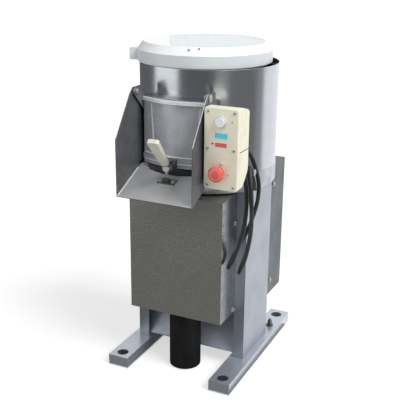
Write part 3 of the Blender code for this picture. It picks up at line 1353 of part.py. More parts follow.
def indicator_lamp():
    face = BOX_FACE - GAP
    put("indicator_lamp", turned([
        (0.0, BOX_FACE + LAMP_STEM_LENGTH), (LAMP_STEM, BOX_FACE + LAMP_STEM_LENGTH), (LAMP_STEM, face),
        (LAMP_RADIUS, face), (LAMP_RADIUS, face - LAMP_DOME / 3), (LAMP_RADIUS * 0.7, face - LAMP_DOME * 0.8),
        (0.0, face - LAMP_DOME),
    ], "y", (lamp_x(), LAMP_Z), TINY_STEPS), LAMP_LENS, smooth=True)


# Control bracket with its peg

def control_bracket():
    front = BOX_BACK + GAP
    rear = front + BRACKET_SHEET
    bracket = put("control_bracket", block((BRACKET_LEFT, BRACKET_RIGHT), (front, rear),
                                           (BRACKET_LOW, BRACKET_HIGH)), ZINC)
    tab_left = BRACKET_RIGHT - BRACKET_SHEET
    unite(bracket,
          block((BRACKET_LEFT, BRACKET_LEFT + BRACKET_SHEET), (front + BRACKET_SHEET / 2, BRACKET_FLANGE_END),
                (BRACKET_LOW, BRACKET_HIGH)),
          prism([(front + BRACKET_SHEET / 2, BRACKET_LOW), (PEG_Y, TAB_LOW), (TAB_REAR, TAB_LOW),
                 (TAB_REAR, TAB_END_HIGH), (front + BRACKET_SHEET / 2, TAB_HIGH)],
                "x", tab_left, BRACKET_RIGHT),
          turned([(0.0, tab_left + BRACKET_SHEET / 2), (PEG_RADIUS, tab_left + BRACKET_SHEET / 2),
                  (PEG_RADIUS, PEG_END), (PEG_STOP_RADIUS, PEG_END), (PEG_STOP_RADIUS, PEG_END + PEG_STOP),
                  (0.0, PEG_END + PEG_STOP)], "x", (PEG_Y, peg_z()), SMALL_STEPS))
    for z in (BRACKET_BOLT_LOW, BRACKET_BOLT_HIGH):
        unite(bracket, rod(BRACKET_SPACER, NECK_HALF + GAP, BRACKET_LEFT + BRACKET_SHEET / 2, "x",
                           (BRACKET_BOLT_Y, z), TINY_STEPS))


def peg_z():
    """Height of the peg: the hank's top turns rest on it."""
    return HANK_TOP - CABLE_RADIUS - GAP - PEG_RADIUS


# Supply cable

def cable_gland():
    face = BOX_BACK + GAP
    inside = BOX_BACK - BOX_WALL - GLAND_THREAD_LENGTH
    nut = face + GLAND_NUT
    nose = face + GLAND_NOSE
    hole = CABLE_RADIUS * GLAND_CABLE_HOLE_SHARE
    put("cable_gland", turned([
        (hole, inside), (GLAND_THREAD, inside), (GLAND_THREAD, face), (GLAND_NUT_RADIUS, face),
        (GLAND_NUT_RADIUS, nut), (GLAND_NOSE_RADIUS, nut), (CABLE_RADIUS + GLAND_CABLE_HOLE_SHARE * GLAND_NUT, nose),
        (hole, nose),
    ], "y", (GLAND_X, GLAND_Z), SMALL_STEPS), BLACK_PLASTIC, smooth=True)


def bezier(values, share):
    """Cubic Bezier through four values."""
    rest = 1.0 - share
    return (values[0] * rest ** 3 + 3 * values[1] * rest ** 2 * share
            + 3 * values[2] * rest * share ** 2 + values[3] * share ** 3)


def hank_turns():
    """Places of the hank's points, closer together in the bends than in the straight runs."""
    run = HANK_TOP - HANK_BOTTOM - 2 * HANK_BEND
    bend = math.pi * HANK_BEND
    lap = 2 * (run + bend)
    turns = []
    place = 0.0
    while place < HANK_TURNS:
        for length, pieces in ((run / 2, 3), (bend, HANK_BEND_PIECES), (run, 5), (bend, HANK_BEND_PIECES),
                               (run / 2, 3)):
            turns += [place + length / lap * index / pieces for index in range(pieces)]
            place += length / lap
    return [turn for turn in turns if turn < HANK_TURNS]


def hank_point(turn):
    """Point of the hank: it starts half way down the rear run and a whole turn is one loop."""
    run = HANK_TOP - HANK_BOTTOM - 2 * HANK_BEND
    bend = math.pi * HANK_BEND
    lap = 2 * (run + bend)
    along = (turn * lap) % lap
    low = HANK_BOTTOM + HANK_BEND
    high = HANK_TOP - HANK_BEND
    if along < run / 2:
        depth, z = HANK_BEND, low + run / 2 - along
    elif along < run / 2 + bend:
        angle = (along - run / 2) / HANK_BEND
        depth, z = HANK_BEND * math.cos(angle), low - HANK_BEND * math.sin(angle)
    elif along < run * 1.5 + bend:
        depth, z = -HANK_BEND, low + along - run / 2 - bend
    elif along < run * 1.5 + 2 * bend:
        angle = (along - run * 1.5 - bend) / HANK_BEND
        depth, z = -HANK_BEND * math.cos(angle), high + HANK_BEND * math.sin(angle)
    else:
        depth, z = HANK_BEND, high - (along - run * 1.5 - 2 * bend)
    down = (HANK_TOP - z) / (HANK_TOP - HANK_BOTTOM)
    first = HANK_LEFT_PEG if turn < 1.25 else HANK_RIGHT_PEG
    if turn < 0.25:
        rest = LOOP_DOWN
    elif turn < 0.75:
        rest = LOOP_UP
    elif turn < 1.75:
        rest = LOOP_SECOND
    else:
        rest = LOOP_TAIL
    depth += HANK_SWAY * math.cos(math.pi * (turn - 0.25))
    slant = HANK_SLANT_TOP_SHARE + (HANK_SLANT_BOTTOM_SHARE - HANK_SLANT_TOP_SHARE) * down
    middle = HANK_TOP_Y + (HANK_BOTTOM_Y - HANK_TOP_Y) * down
    return Vector((bezier((first, *rest), down) - slant * depth, middle + depth, z))


def smooth_route(points, count):
    """Evenly spaced points on a Catmull-Rom curve through the route's own points."""
    spots = [Vector(point) for point in points]
    spots = [spots[0] * 2 - spots[1]] + spots + [spots[-1] * 2 - spots[-2]]
    dense = []
    for p0, p1, p2, p3 in zip(spots, spots[1:], spots[2:], spots[3:]):
        for index in range(SMALL_STEPS):
            t = index / SMALL_STEPS
            dense.append(0.5 * (2 * p1 + (p2 - p0) * t + (2 * p0 - 5 * p1 + 4 * p2 - p3) * t * t
                                + (3 * p1 - p0 - 3 * p2 + p3) * t ** 3))
    dense.append(spots[-2])
    lengths = [0.0]
    for before, after in zip(dense, dense[1:]):
        lengths.append(lengths[-1] + (after - before).length)
    even = []
    place = 0
    for index in range(count):
        target = lengths[-1] * index / (count - 1)
        while place < len(dense) - 2 and lengths[place + 1] < target:
            place += 1
        share = (target - lengths[place]) / (lengths[place + 1] - lengths[place])
        even.append(dense[place].lerp(dense[place + 1], share))
    return even


def tube(name, points, resolution):
    curve = bpy.data.curves.new(name, "CURVE")
    curve.dimensions = "3D"
    curve.bevel_depth = CABLE_RADIUS
    curve.bevel_resolution = resolution
    curve.use_fill_caps = True
    spline = curve.splines.new("POLY")
    spline.points.add(len(points) - 1)
    for spot, point in zip(spline.points, points):
        spot.co = (*point, 1.0)
    curve.materials.append(BLACK_CABLE)
    thing = bpy.data.objects.new(name, curve)
    bpy.context.scene.collection.objects.link(thing)
    thing.parent = FRAME
    return thing


def least_gap(points):
    """Least distance between the hank's surfaces at places more than a bend apart."""
    skip = HANK_BEND_PIECES
    least = math.inf
    for index, here in enumerate(points):
        for there in range(index + skip, len(points) - 1):
            start = points[there]
            step = points[there + 1] - start
            share = max(0.0, min(1.0, (here - start).dot(step) / step.length_squared))
            least = min(least, (start + step * share - here).length)
    return least - 2 * CABLE_RADIUS


def route_length(points):
    return sum((after - before).length for before, after in zip(points, points[1:]))


def supply_cable():
    hank = [hank_point(turn) for turn in hank_turns()]
    heading = (hank[1] - hank[0]).normalized()
    end = hank[0] - heading * GAP
    start = Vector((GLAND_X, BOX_BACK + GAP + GLAND_NOSE + GAP, GLAND_Z))
    straight = 2 * CABLE_RADIUS
    points = [start, *LEAD_ROUTE, end - heading * straight, end]
    lead = smooth_route(points, LEAD_POINTS)
    tube("supply_cable", lead, 2)
    tube("cable_hank", hank, 1)
    print(f"hank start {tuple(round(v, 4) for v in hank[0])} heading {tuple(round(v, 3) for v in heading)}")
    print(f"least gap of the hank to itself {least_gap(hank) * 1000:.2f} mm")
    print(f"lead {route_length(lead):.3f} m, hank {route_length(hank):.3f} m")


def centre_on_floor():
    """Moves the machine so that the middle of its box, without the cable, is over the origin."""
    bpy.context.view_layer.update()
    graph = bpy.context.evaluated_depsgraph_get()
    low = Vector((math.inf, math.inf, math.inf))
    high = -low
    for thing in bpy.context.scene.objects:
        if thing.type != "MESH" or thing.hide_render:
            continue
        for corner in thing.evaluated_get(graph).bound_box:
            place = thing.matrix_world @ Vector(corner)
            low = Vector(map(min, low, place))
            high = Vector(map(max, high, place))
    FRAME.location = (-(low.x + high.x) / 2, -(low.y + high.y) / 2, -low.z)
    print(f"machine box {tuple(low)} {tuple(high)} moved by {tuple(FRAME.location)}")


clear_scene()
FRAME = bpy.data.objects.new("frame", None)
bpy.context.scene.collection.objects.link(FRAME)

FRAME_PAINT = material("frame_paint", (0.36, 0.38, 0.41), 0.35, 0.2)
HAMMER_PAINT = material("hammer_paint", (0.13, 0.125, 0.11), 0.45, 0.2)
GREY_PAINT = material("grey_paint", (0.17, 0.175, 0.18), 0.45, 0.1)
PANEL_STEEL = material("panel_steel", (0.42, 0.44, 0.48), 0.35, 0.8)
CHUTE_PAINT = material("chute_paint", (0.24, 0.25, 0.26), 0.4, 0.3)
CAST_ALUMINIUM = material("cast_aluminium", (0.6, 0.62, 0.63), 0.45, 0.9)
POLISHED_STEEL = material("polished_steel", (0.75, 0.76, 0.78), 0.15, 1.0)
STAINLESS = material("stainless", (0.62, 0.63, 0.65), 0.28, 1.0)
STEEL = material("steel", (0.55, 0.56, 0.58), 0.3, 1.0)
ZINC = material("zinc", (0.72, 0.73, 0.74), 0.3, 1.0)
CHROME = material("chrome", (0.8, 0.8, 0.82), 0.12, 1.0)
BRASS = material("brass", (0.72, 0.55, 0.25), 0.3, 1.0)
CAST_IRON = material("cast_iron", (0.12, 0.12, 0.13), 0.6, 0.5)
MOTOR_PAINT = material("motor_paint", (0.09, 0.16, 0.24), 0.5)
ABRASIVE = material("abrasive", (0.16, 0.15, 0.14), 0.95)
BLACK_RUBBER = material("black_rubber", (0.012, 0.012, 0.013), 0.6)
BLACK_CABLE = material("black_cable", (0.01, 0.01, 0.011), 0.45)
BLACK_PLASTIC = material("black_plastic", (0.02, 0.02, 0.022), 0.5)
LID_PLASTIC = material("lid_plastic", (0.8, 0.82, 0.82), 0.35)
WINDOW = material("window", (0.72, 0.88, 0.85), 0.1, 0.0, 0.5)
BOX_PLASTIC = material("box_plastic", (0.72, 0.68, 0.5), 0.4)
BEIGE_PLASTIC = material("beige_plastic", (0.6, 0.56, 0.42), 0.45)
WHITE_PLASTIC = material("white_plastic", (0.85, 0.85, 0.84), 0.3)
RED_PLASTIC = material("red_plastic", (0.65, 0.03, 0.02), 0.3)
LAMP_LENS = material("lamp_lens", (0.75, 0.8, 0.78), 0.1)

floor_rails()
legs()
earth_stud()
splash_panel()
deck_plate()
front_cover()
rear_cover()
drum_base()
drum_shell()
abrasive_liner()
water_inlet()
drain_pipe()
bearing_housing()
main_shaft()
pulleys()
v_belt()
motor_plate()
motor()
motor_cowl()
motor_fan()
abrasive_disc()
disc_nut()
lid()
outlet_neck()
door_gasket()
door()
pivot_bolts()
chute()
latch_bracket()
latch_pin()
latch_lever()
latch_grip()
latch_keeper()
control_box()
start_button()
emergency_stop()
contact_block()
indicator_lamp()
control_bracket()
cable_gland()
supply_cable()
centre_on_floor()
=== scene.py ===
import math
import bpy
from mathutils import Matrix, Vector


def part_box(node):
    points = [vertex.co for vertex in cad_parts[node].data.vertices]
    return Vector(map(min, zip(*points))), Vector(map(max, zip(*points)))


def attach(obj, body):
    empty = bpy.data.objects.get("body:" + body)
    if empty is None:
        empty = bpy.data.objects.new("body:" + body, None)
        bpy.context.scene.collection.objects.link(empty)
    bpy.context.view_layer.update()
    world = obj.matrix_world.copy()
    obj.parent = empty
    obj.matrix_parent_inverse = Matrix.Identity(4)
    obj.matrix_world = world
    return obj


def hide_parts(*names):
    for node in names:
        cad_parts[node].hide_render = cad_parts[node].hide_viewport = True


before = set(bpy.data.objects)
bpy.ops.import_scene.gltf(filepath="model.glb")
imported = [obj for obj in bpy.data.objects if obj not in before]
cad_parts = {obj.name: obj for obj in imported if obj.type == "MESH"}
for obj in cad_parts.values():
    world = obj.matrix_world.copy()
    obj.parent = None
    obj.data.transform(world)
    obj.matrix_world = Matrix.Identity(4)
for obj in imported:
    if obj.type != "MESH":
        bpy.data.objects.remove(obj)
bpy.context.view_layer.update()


# Camera
# It stands a little over two metres off, to the right of the machine's front, and looks down on it.
# Lengths are measured from the middle of the floor between the two rails.

LEFT_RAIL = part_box("base_rail_left")
RIGHT_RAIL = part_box("base_rail_right")
MIDDLE = Vector(((LEFT_RAIL[0].x + RIGHT_RAIL[1].x) / 2, (LEFT_RAIL[0].y + LEFT_RAIL[1].y) / 2, 0.0))
CAMERA_PLACE = (0.86952, -1.87697, 1.14258)
CAMERA_YAW = math.radians(25.2947)
CAMERA_PITCH = math.radians(18.3758)
CAMERA_ROLL = math.radians(0.6187)
LENS = 68.41


def at(x, y, z):
    """A point measured from the middle of the floor between the rails."""
    return Vector((x, y, z)) + MIDDLE


def placed(name, data):
    """A new object in the scene that holds some data."""
    made = bpy.data.objects.new(name, data)
    bpy.context.scene.collection.objects.link(made)
    return made


ahead = Vector((-math.sin(CAMERA_YAW) * math.cos(CAMERA_PITCH), math.cos(CAMERA_YAW) * math.cos(CAMERA_PITCH),
                -math.sin(CAMERA_PITCH)))
level = Vector((math.cos(CAMERA_YAW), math.sin(CAMERA_YAW), 0.0))
upright = level.cross(ahead)
right = level * math.cos(CAMERA_ROLL) + upright * math.sin(CAMERA_ROLL)
up = upright * math.cos(CAMERA_ROLL) - level * math.sin(CAMERA_ROLL)
lens = bpy.data.cameras.new("camera")
lens.lens = LENS
camera = placed("camera", lens)
camera.matrix_world = Matrix.Translation(at(*CAMERA_PLACE)) @ Matrix((right, up, -ahead)).transposed().to_4x4()
bpy.context.scene.camera = camera
bpy.context.scene.view_settings.view_transform = "Standard"


# Light, floor and background
# A wide soft light stands to the right and above, a weak one fills in from the left front, and an even grey
# sky lights the rest. The floor is pale and keeps the machine's shadow. Dark cloths stand round the set and
# one lies on the floor. Only reflections see them, so they shade the polished steel.

SKY = 0.36
# Each sun: the direction it shines from, its strength, and its width in degrees.
KEY = ((0.70, -0.15, 0.74), 2.75, 38.0)
FILL = ((-0.55, -0.80, 0.40), 0.55, 60.0)
FLOOR_SIDE = 60.0
FLOOR_GLOW = 0.60


def srgb(code, alpha=1.0):
    """A linear colour from its sRGB hex code."""
    parts = [int(code[place:place + 2], 16) / 255 for place in (1, 3, 5)]
    return tuple(part / 12.92 if part <= 0.04045 else ((part + 0.055) / 1.055) ** 2.4 for part in parts) + (alpha,)


def add(tree, kind, inputs=None, **settings):
    """Adds a shader node, gives it its settings, and gives its inputs values or another node's output."""
    made = tree.nodes.new("ShaderNode" + kind)
    for name, value in settings.items():
        setattr(made, name, value)
    for name, value in (inputs or {}).items():
        if isinstance(value, bpy.types.NodeSocket):
            tree.links.new(value, made.inputs[name])
        else:
            made.inputs[name].default_value = value
    return made


def blank(holder):
    """The empty node tree of a new material or world."""
    holder.use_nodes = True
    holder.node_tree.nodes.clear()
    return holder.node_tree


def seen_rays(tree):
    """1 for rays of the camera, of reflections and through clear pieces, and 0 for light on the pieces."""
    rays = add(tree, "LightPath")
    direct = add(tree, "Math", {0: rays.outputs["Is Camera Ray"], 1: rays.outputs["Is Glossy Ray"]},
                 operation="MAXIMUM")
    return add(tree, "Math", {0: direct.outputs[0], 1: rays.outputs["Is Transmission Ray"]},
               operation="MAXIMUM").outputs[0]


def sun(name, direction, strength, width):
    """A sun that shines from a direction."""
    light = bpy.data.lights.new(name, "SUN")
    light.energy = strength
    light.angle = math.radians(width)
    placed(name, light).rotation_euler = Vector(direction).to_track_quat("Z", "Y").to_euler()


sky = bpy.data.worlds.new("studio")
tree = blank(sky)
tone = add(tree, "Mix", {0: seen_rays(tree), 6: (SKY, SKY, SKY, 1.0), 7: (1.0, 1.0, 1.0, 1.0)},
           data_type="RGBA")
ground = add(tree, "Background", {"Color": tone.outputs[2]})
add(tree, "OutputWorld", {"Surface": ground.outputs[0]})
bpy.context.scene.world = sky
sun("key", *KEY)

bpy.ops.object.select_all(action="DESELECT")
bpy.ops.mesh.primitive_plane_add(size=FLOOR_SIDE, location=(0.0, 0.0, 0.0))
floor = bpy.context.object
floor.name = "floor"
paper = bpy.data.materials.new("floor_paper")
tree = blank(paper)
matt = add(tree, "BsdfDiffuse", {"Color": srgb("#c2c2c2")})
lift = add(tree, "Math", {0: seen_rays(tree), 1: FLOOR_GLOW}, operation="MULTIPLY")
glow = add(tree, "Emission", {"Strength": lift.outputs[0]})
both = add(tree, "AddShader", {0: matt.outputs[0], 1: glow.outputs[0]})
add(tree, "OutputMaterial", {"Surface": both.outputs[0]})
floor.data.materials.append(paper)
sun("fill", *FILL)

# Each standing cloth: its direction from the machine in degrees, width, height, distance and brightness.
CLOTHS = (
    (-85.0, 1.85, 2.2, 1.60, 0.13),
    (-45.0, 0.56, 2.2, 1.58, 0.36),
    (-10.0, 1.49, 2.2, 1.60, 0.19),
    (23.0, 0.48, 2.2, 1.62, 0.34),
    (166.0, 2.10, 2.2, 1.60, 0.15),
)
FLOOR_CLOTH_PLACE = (-0.55, -0.675, 0.004)
FLOOR_CLOTH_SIZE = (1.50, 1.85)
FLOOR_CLOTH_TONE = 0.06


def cloth(number, place, lean, size, brightness):
    """A sheet of one tone that only reflections see."""
    bpy.ops.mesh.primitive_plane_add(size=1.0, location=place, rotation=lean)
    sheet = bpy.context.object
    sheet.name = f"dark_cloth_{number}"
    sheet.scale = (*size, 1.0)
    dark = bpy.data.materials.new(f"dark_cloth_{number}")
    tree = blank(dark)
    dim = add(tree, "Emission", {"Strength": brightness})
    add(tree, "OutputMaterial", {"Surface": dim.outputs[0]})
    sheet.data.materials.append(dark)
    sheet.visible_camera = False
    sheet.visible_diffuse = False
    sheet.visible_transmission = False
    sheet.visible_shadow = False


for number, (turn, width, height, distance, brightness) in enumerate(CLOTHS):
    heading = math.radians(turn)
    place = Vector((math.cos(heading), math.sin(heading), 0.0)) * distance
    place.z = height / 2
    cloth(number, place, (math.pi / 2, 0.0, heading + math.pi / 2), (width, height), brightness)
cloth(len(CLOTHS), FLOOR_CLOTH_PLACE, (0.0, 0.0, 0.0), FLOOR_CLOTH_SIZE, FLOOR_CLOTH_TONE)


# Supply cable
# A round three-core mains cable in a black PVC sheath, about 1.4 m long. It leaves the gland behind the
# control box, drops to the bracket's peg and hangs there in two loops. Its end is cut square, with no plug.

CABLE_DIAMETER = 0.011
# Points on its centreline, in tenths of a millimetre.
CABLE_ROUTE = (
    (1720, -1480, 6600), (1737, -1321, 6564), (1769, -1198, 6459), (1808, -1113, 6322), (1850, -1061, 6170),
    (1896, -1032, 6013), (1941, -1021, 5854), (1978, -1021, 5692), (2002, -1028, 5527), (2007, -1048, 5363),
    (2004, -1076, 5199), (1992, -1126, 5041), (1970, -1185, 4887), (1937, -1232, 4731), (1894, -1260, 4573),
    (1843, -1282, 4416), (1785, -1307, 4262), (1721, -1333, 4111), (1654, -1357, 3961), (1586, -1378, 3811),
    (1525, -1422, 3664), (1495, -1529, 3543), (1501, -1678, 3473), (1542, -1838, 3470), (1609, -1973, 3535),
    (1688, -2056, 3654), (1758, -2071, 3802), (1808, -2028, 3954), (1854, -1996, 4111), (1894, -1966, 4269),
    (1928, -1938, 4430), (1955, -1912, 4592), (1974, -1887, 4755), (1985, -1860, 4919), (1988, -1833, 5083),
    (1984, -1808, 5247), (1972, -1785, 5411), (1952, -1763, 5575), (1923, -1735, 5736), (1884, -1703, 5894),
    (1822, -1618, 6021), (1753, -1485, 6089), (1695, -1332, 6081), (1664, -1194, 5997), (1668, -1105, 5858),
    (1704, -1084, 5699), (1762, -1133, 5553), (1818, -1200, 5413), (1862, -1238, 5257), (1900, -1274, 5099),
    (1930, -1310, 4940), (1954, -1346, 4779), (1970, -1382, 4618), (1978, -1418, 4456), (1977, -1454, 4293),
    (1965, -1488, 4131), (1944, -1519, 3969), (1914, -1551, 3809), (1877, -1600, 3655), (1861, -1710, 3534),
    (1876, -1861, 3467), (1920, -2019, 3471), (1984, -2152, 3545), (2054, -2230, 3672), (2113, -2240, 3826),
    (2144, -2188, 3980), (2169, -2147, 4139), (2187, -2111, 4300), (2198, -2076, 4462), (2203, -2041, 4625),
    (2200, -2005, 4787), (2190, -1968, 4949), (2175, -1930, 5110), (2155, -1892, 5271), (2132, -1858, 5432),
    (2105, -1824, 5592), (2073, -1781, 5750), (2032, -1715, 5896), (1977, -1625, 6024), (1911, -1493, 6097),
    (1852, -1339, 6099), (1814, -1195, 6029), (1808, -1090, 5902), (1833, -1047, 5745), (1883, -1074, 5590),
    (1928, -1127, 5440),
)
# The span of the noise over which a finish shifts.
PATCHES = {"From Min": 0.34, "From Max": 0.68}


def finish(name, colour, other, patch, grain, depth, rough, rougher, metal=0.0, run=(1.0, 1.0, 1.0), more=None):
    """A finish that shifts between two colours and two roughnesses over patches of one size, with a skin
    of a finer grain. Sizes are in metres, and run stretches the pattern: a small number gives long marks."""
    made = bpy.data.materials.new(name)
    tree = blank(made)
    place = add(tree, "TexCoord")
    drawn = add(tree, "Mapping", {"Vector": place.outputs["Object"], "Scale": run})
    patches = add(tree, "TexNoise", {"Vector": drawn.outputs[0], "Scale": 1.0 / patch, "Detail": 5.0,
                                               "Roughness": 0.62})
    share = add(tree, "MapRange", {"Value": patches.outputs[0], **PATCHES})
    shade = add(tree, "Mix", {0: share.outputs[0], 6: srgb(colour), 7: srgb(other)}, data_type="RGBA")
    gloss = add(tree, "MapRange", {"Value": patches.outputs[0], "To Min": rough, "To Max": rougher,
                                             **PATCHES})
    grains = add(tree, "TexNoise", {"Vector": drawn.outputs[0], "Scale": 1.0 / grain, "Detail": 2.0})
    skin = add(tree, "Bump", {"Height": grains.outputs[0], "Distance": depth})
    shader = add(tree, "BsdfPrincipled", {
        "Base Color": shade.outputs[2], "Roughness": gloss.outputs[0], "Normal": skin.outputs[0],
        "Metallic": metal, **(more or {})})
    add(tree, "OutputMaterial", {"Surface": shader.outputs[0]})
    return made


def dressed(piece, material, body):
    """Gives a piece its material and the body that it moves with."""
    piece.data.materials.clear()
    piece.data.materials.append(material)
    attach(piece, body)
    return piece


def on_route(spot):
    """A point of the cable's route in the scene."""
    return at(*(part / 10000 for part in spot))


# Soft PVC, extruded: nearly black, dusty in long patches, with a low sheen and a faint drawn grain.
CABLE_SHEATH = finish("black_pvc_sheath", "#17191b", "#2a2d30", 0.05, 0.0012, 0.00004, 0.38, 0.52)

line = bpy.data.curves.new("supply_lead", "CURVE")
line.dimensions = "3D"
line.bevel_depth = CABLE_DIAMETER / 2
line.bevel_resolution = 5
line.resolution_u = 5
line.use_fill_caps = True
course = line.splines.new("BEZIER")
course.bezier_points.add(len(CABLE_ROUTE) - 1)
for knot, spot in zip(course.bezier_points, CABLE_ROUTE):
    knot.co = on_route(spot)
    knot.handle_left_type = "AUTO"
    knot.handle_right_type = "AUTO"
lead = placed("supply_lead", line)
dressed(lead, CABLE_SHEATH, "frame")
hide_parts("supply_cable", "cable_hank")


# Floor rails
# Two closed channels of folded 3 mm steel sheet, welded at the ends, that stand on the floor and carry
# the legs. Each has a round hole near each end, through which a spanner reaches the floor bolt.

# How far hard edges are rounded, from turned pins to castings.
PIN_EDGE = 0.0003
THIN_EDGE = 0.0004
SLIM_EDGE = 0.0005
SMALL_EDGE = 0.0006
SHEET_EDGE = 0.0007
CAST_EDGE = 0.0012
SHARPEST = 31.0
SIDES = ((-1, "left"), (1, "right"))


def edit_mode():
    """Opens the active piece's mesh for editing."""
    bpy.ops.object.mode_set(mode="EDIT")


def object_mode():
    """Closes the mesh again."""
    bpy.ops.object.mode_set(mode="OBJECT")


def only(piece):
    """Leaves one piece selected and active, in object mode."""
    if bpy.context.mode != "OBJECT":
        object_mode()
    bpy.ops.object.select_all(action="DESELECT")
    piece.select_set(True)
    bpy.context.view_layer.objects.active = piece
    return piece


def rounded(piece, radius, steps=2, sharpest=SHARPEST):
    """Rounds a piece's hard edges to a radius, and shades what is round as round."""
    only(piece)
    bpy.ops.object.shade_smooth_by_angle(angle=math.radians(sharpest))
    edge = piece.modifiers.new("edge", "BEVEL")
    edge.width = radius
    edge.segments = steps
    edge.limit_method = "ANGLE"
    edge.angle_limit = math.radians(sharpest)
    edge.harden_normals = True
    bpy.ops.object.modifier_apply(modifier=edge.name)
    return piece


def softened(node, name, radius, material, body, steps=2, sharpest=SHARPEST):
    """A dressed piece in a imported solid's shape: its triangles merged, its flats joined, its edges rounded."""
    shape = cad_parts[node].data.copy()
    shape.name = name
    piece = only(placed(name, shape))
    if shape.has_custom_normals:
        bpy.ops.mesh.customdata_custom_splitnormals_clear()
    edit_mode()
    bpy.ops.mesh.select_all(action="SELECT")
    bpy.ops.mesh.remove_doubles(threshold=0.00002)
    bpy.ops.mesh.dissolve_limited(angle_limit=math.radians(0.6))
    object_mode()
    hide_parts(node)
    return dressed(rounded(piece, radius, steps, sharpest), material, body)


# Silver-grey stove enamel on steel sheet: satin, a little cloudy, with the low ripple of sprayed paint.
FRAME_ENAMEL = finish("silver_grey_enamel", "#c8ced8", "#bec4ce", 0.09, 0.004, 0.00003, 0.28, 0.38, 0.68,
                      more={"Coat Weight": 0.25, "Coat Roughness": 0.25})
for _, label in SIDES:
    softened(f"base_rail_{label}", f"floor_rail_{label}", CAST_EDGE, FRAME_ENAMEL, "frame", 3)


# Legs and deck
# Each leg is a tall channel of 4 mm steel with two lugs for the covers, welded on its rail. The deck plate
# lies on both legs and carries the drum.

# The same enamel, one shade darker and duller on the tall sheets.
LEG_ENAMEL = finish("leg_grey_enamel", "#a6acb5", "#9da3ac", 0.09, 0.004, 0.00003, 0.32, 0.42, 0.7)
for _, label in SIDES:
    softened(f"leg_{label}", f"upright_{label}", SHEET_EDGE, LEG_ENAMEL, "frame")
softened("deck_plate", "deck", SHEET_EDGE, FRAME_ENAMEL, "frame")


# Earth stud
# A turned brass stud with its nut, where the earth wire is clamped. It stands on a small plate welded
# behind the right leg.

# Brass, turned and nickelled, gone dull: mid grey with a trace of straw and fine rings from the tool.
BRASS = finish("nickelled_brass", "#85847d", "#6b6a63", 0.006, 0.0006, 0.00001, 0.30, 0.44, 1.0)
softened("earth_stud", "earth_terminal", THIN_EDGE, BRASS, "frame")


# Splash panel
# A folded steel panel between the legs slopes down to the front and turns splashes away from the motor.
# It is painted a plain blue-grey, thinner and duller than the legs.

PANEL_ENAMEL = finish("blue_grey_enamel", "#b4bac7", "#a6acb9", 0.06, 0.003, 0.00005, 0.36, 0.5, 0.25)
softened("splash_panel", "splash_guard", SHEET_EDGE, PANEL_ENAMEL, "frame")


# Front cover
# A folded sheet with a bend down each side, screwed to the legs' lugs. It has dark grey hammertone paint,
# whose pits are 3 to 4 mm wide.

HAMMER_PIT = 0.0038
PIT_DEPTH = 0.00045
CLOUD_SCALE = 14.0
# Hammertone enamel on steel: dark dimples with paler rims and a wet shine.
hammer = bpy.data.materials.new("dark_hammertone_enamel")
tree = blank(hammer)
place = add(tree, "TexCoord")
pits = add(tree, "TexVoronoi", {"Vector": place.outputs["Object"], "Scale": 1.0 / HAMMER_PIT,
                                         "Smoothness": 0.5}, feature="SMOOTH_F1")
clouds = add(tree, "TexNoise", {"Vector": place.outputs["Object"], "Scale": CLOUD_SCALE, "Detail": 4.0})
rims = add(tree, "MapRange", {"Value": pits.outputs["Distance"], "From Min": 0.15, "From Max": 0.75})
shade = add(tree, "Mix", {0: rims.outputs[0], 6: srgb("#7b7a76"), 7: srgb("#9c9b96")}, data_type="RGBA")
dust = add(tree, "Mix", {0: clouds.outputs[0], 6: shade.outputs[2], 7: srgb("#8a8984")},
           data_type="RGBA")
dents = add(tree, "Bump", {"Height": pits.outputs["Distance"], "Distance": PIT_DEPTH})
shader = add(tree, "BsdfPrincipled", {"Base Color": dust.outputs[2], "Roughness": 0.34,
                                                "Metallic": 0.45, "Normal": dents.outputs[0]})
add(tree, "OutputMaterial", {"Surface": shader.outputs[0]})


def repainted(piece, material, chosen):
    """Gives one more material to the faces that chosen picks by themselves and their middles."""
    piece.data.materials.append(material)
    for face in piece.data.polygons:
        if chosen(face, face.center - MIDDLE):
            face.material_index = len(piece.data.materials) - 1


cover = softened("front_cover", "front_guard", CAST_EDGE, hammer, "frame", 3)
# The same enamel on the flanks, where it lies thinner and shines like the metal below.
THIN_HAMMER = finish("thin_hammertone_enamel", "#94969a", "#76787c", 0.02, 0.003, 0.00022, 0.16, 0.24, 0.95)
repainted(cover, THIN_HAMMER, lambda face, spot: abs(face.normal.x) > 0.5)


# Cover screws
# Pan-head machine screws of zinc-plated steel, each with a cross slot and a washer. Two on each side hold
# the front cover to the legs' lugs.

# Zinc plate, bright: grey with faint yellow, a little cloudy from handling.
ZINC = finish("bright_zinc_plate", "#c9cbc9", "#b3b4ae", 0.004, 0.0008, 0.00001, 0.26, 0.4, 0.75)
SCREW_HEAD = 0.0042
SCREW_DOME = 0.0026
SCREW_SLOT = 0.0046
SLOT_WIDTH_SHARE = 0.32
SLOT_DEPTH_SHARE = 0.9
DOME_ROUND_SHARE = 0.45
WASHER = 0.0060
WASHER_SHEET = 0.0010
WASHER_ROUND_SHARE = 0.3
COVER_SCREW_SCALE = 1.2
cylinder = bpy.ops.mesh.primitive_cylinder_add
cube = bpy.ops.mesh.primitive_cube_add
plane = bpy.ops.mesh.primitive_plane_add
torus = bpy.ops.mesh.primitive_torus_add


def shaped(kind, name, scale=(1.0, 1.0, 1.0), **size):
    """A new simple shape, alone in the selection, with its place, turn and scale settled in its mesh."""
    bpy.ops.object.select_all(action="DESELECT")
    kind(**size)
    piece = bpy.context.object
    piece.name = name
    piece.scale = scale
    bpy.ops.object.transform_apply(location=True, rotation=True, scale=True)
    return piece


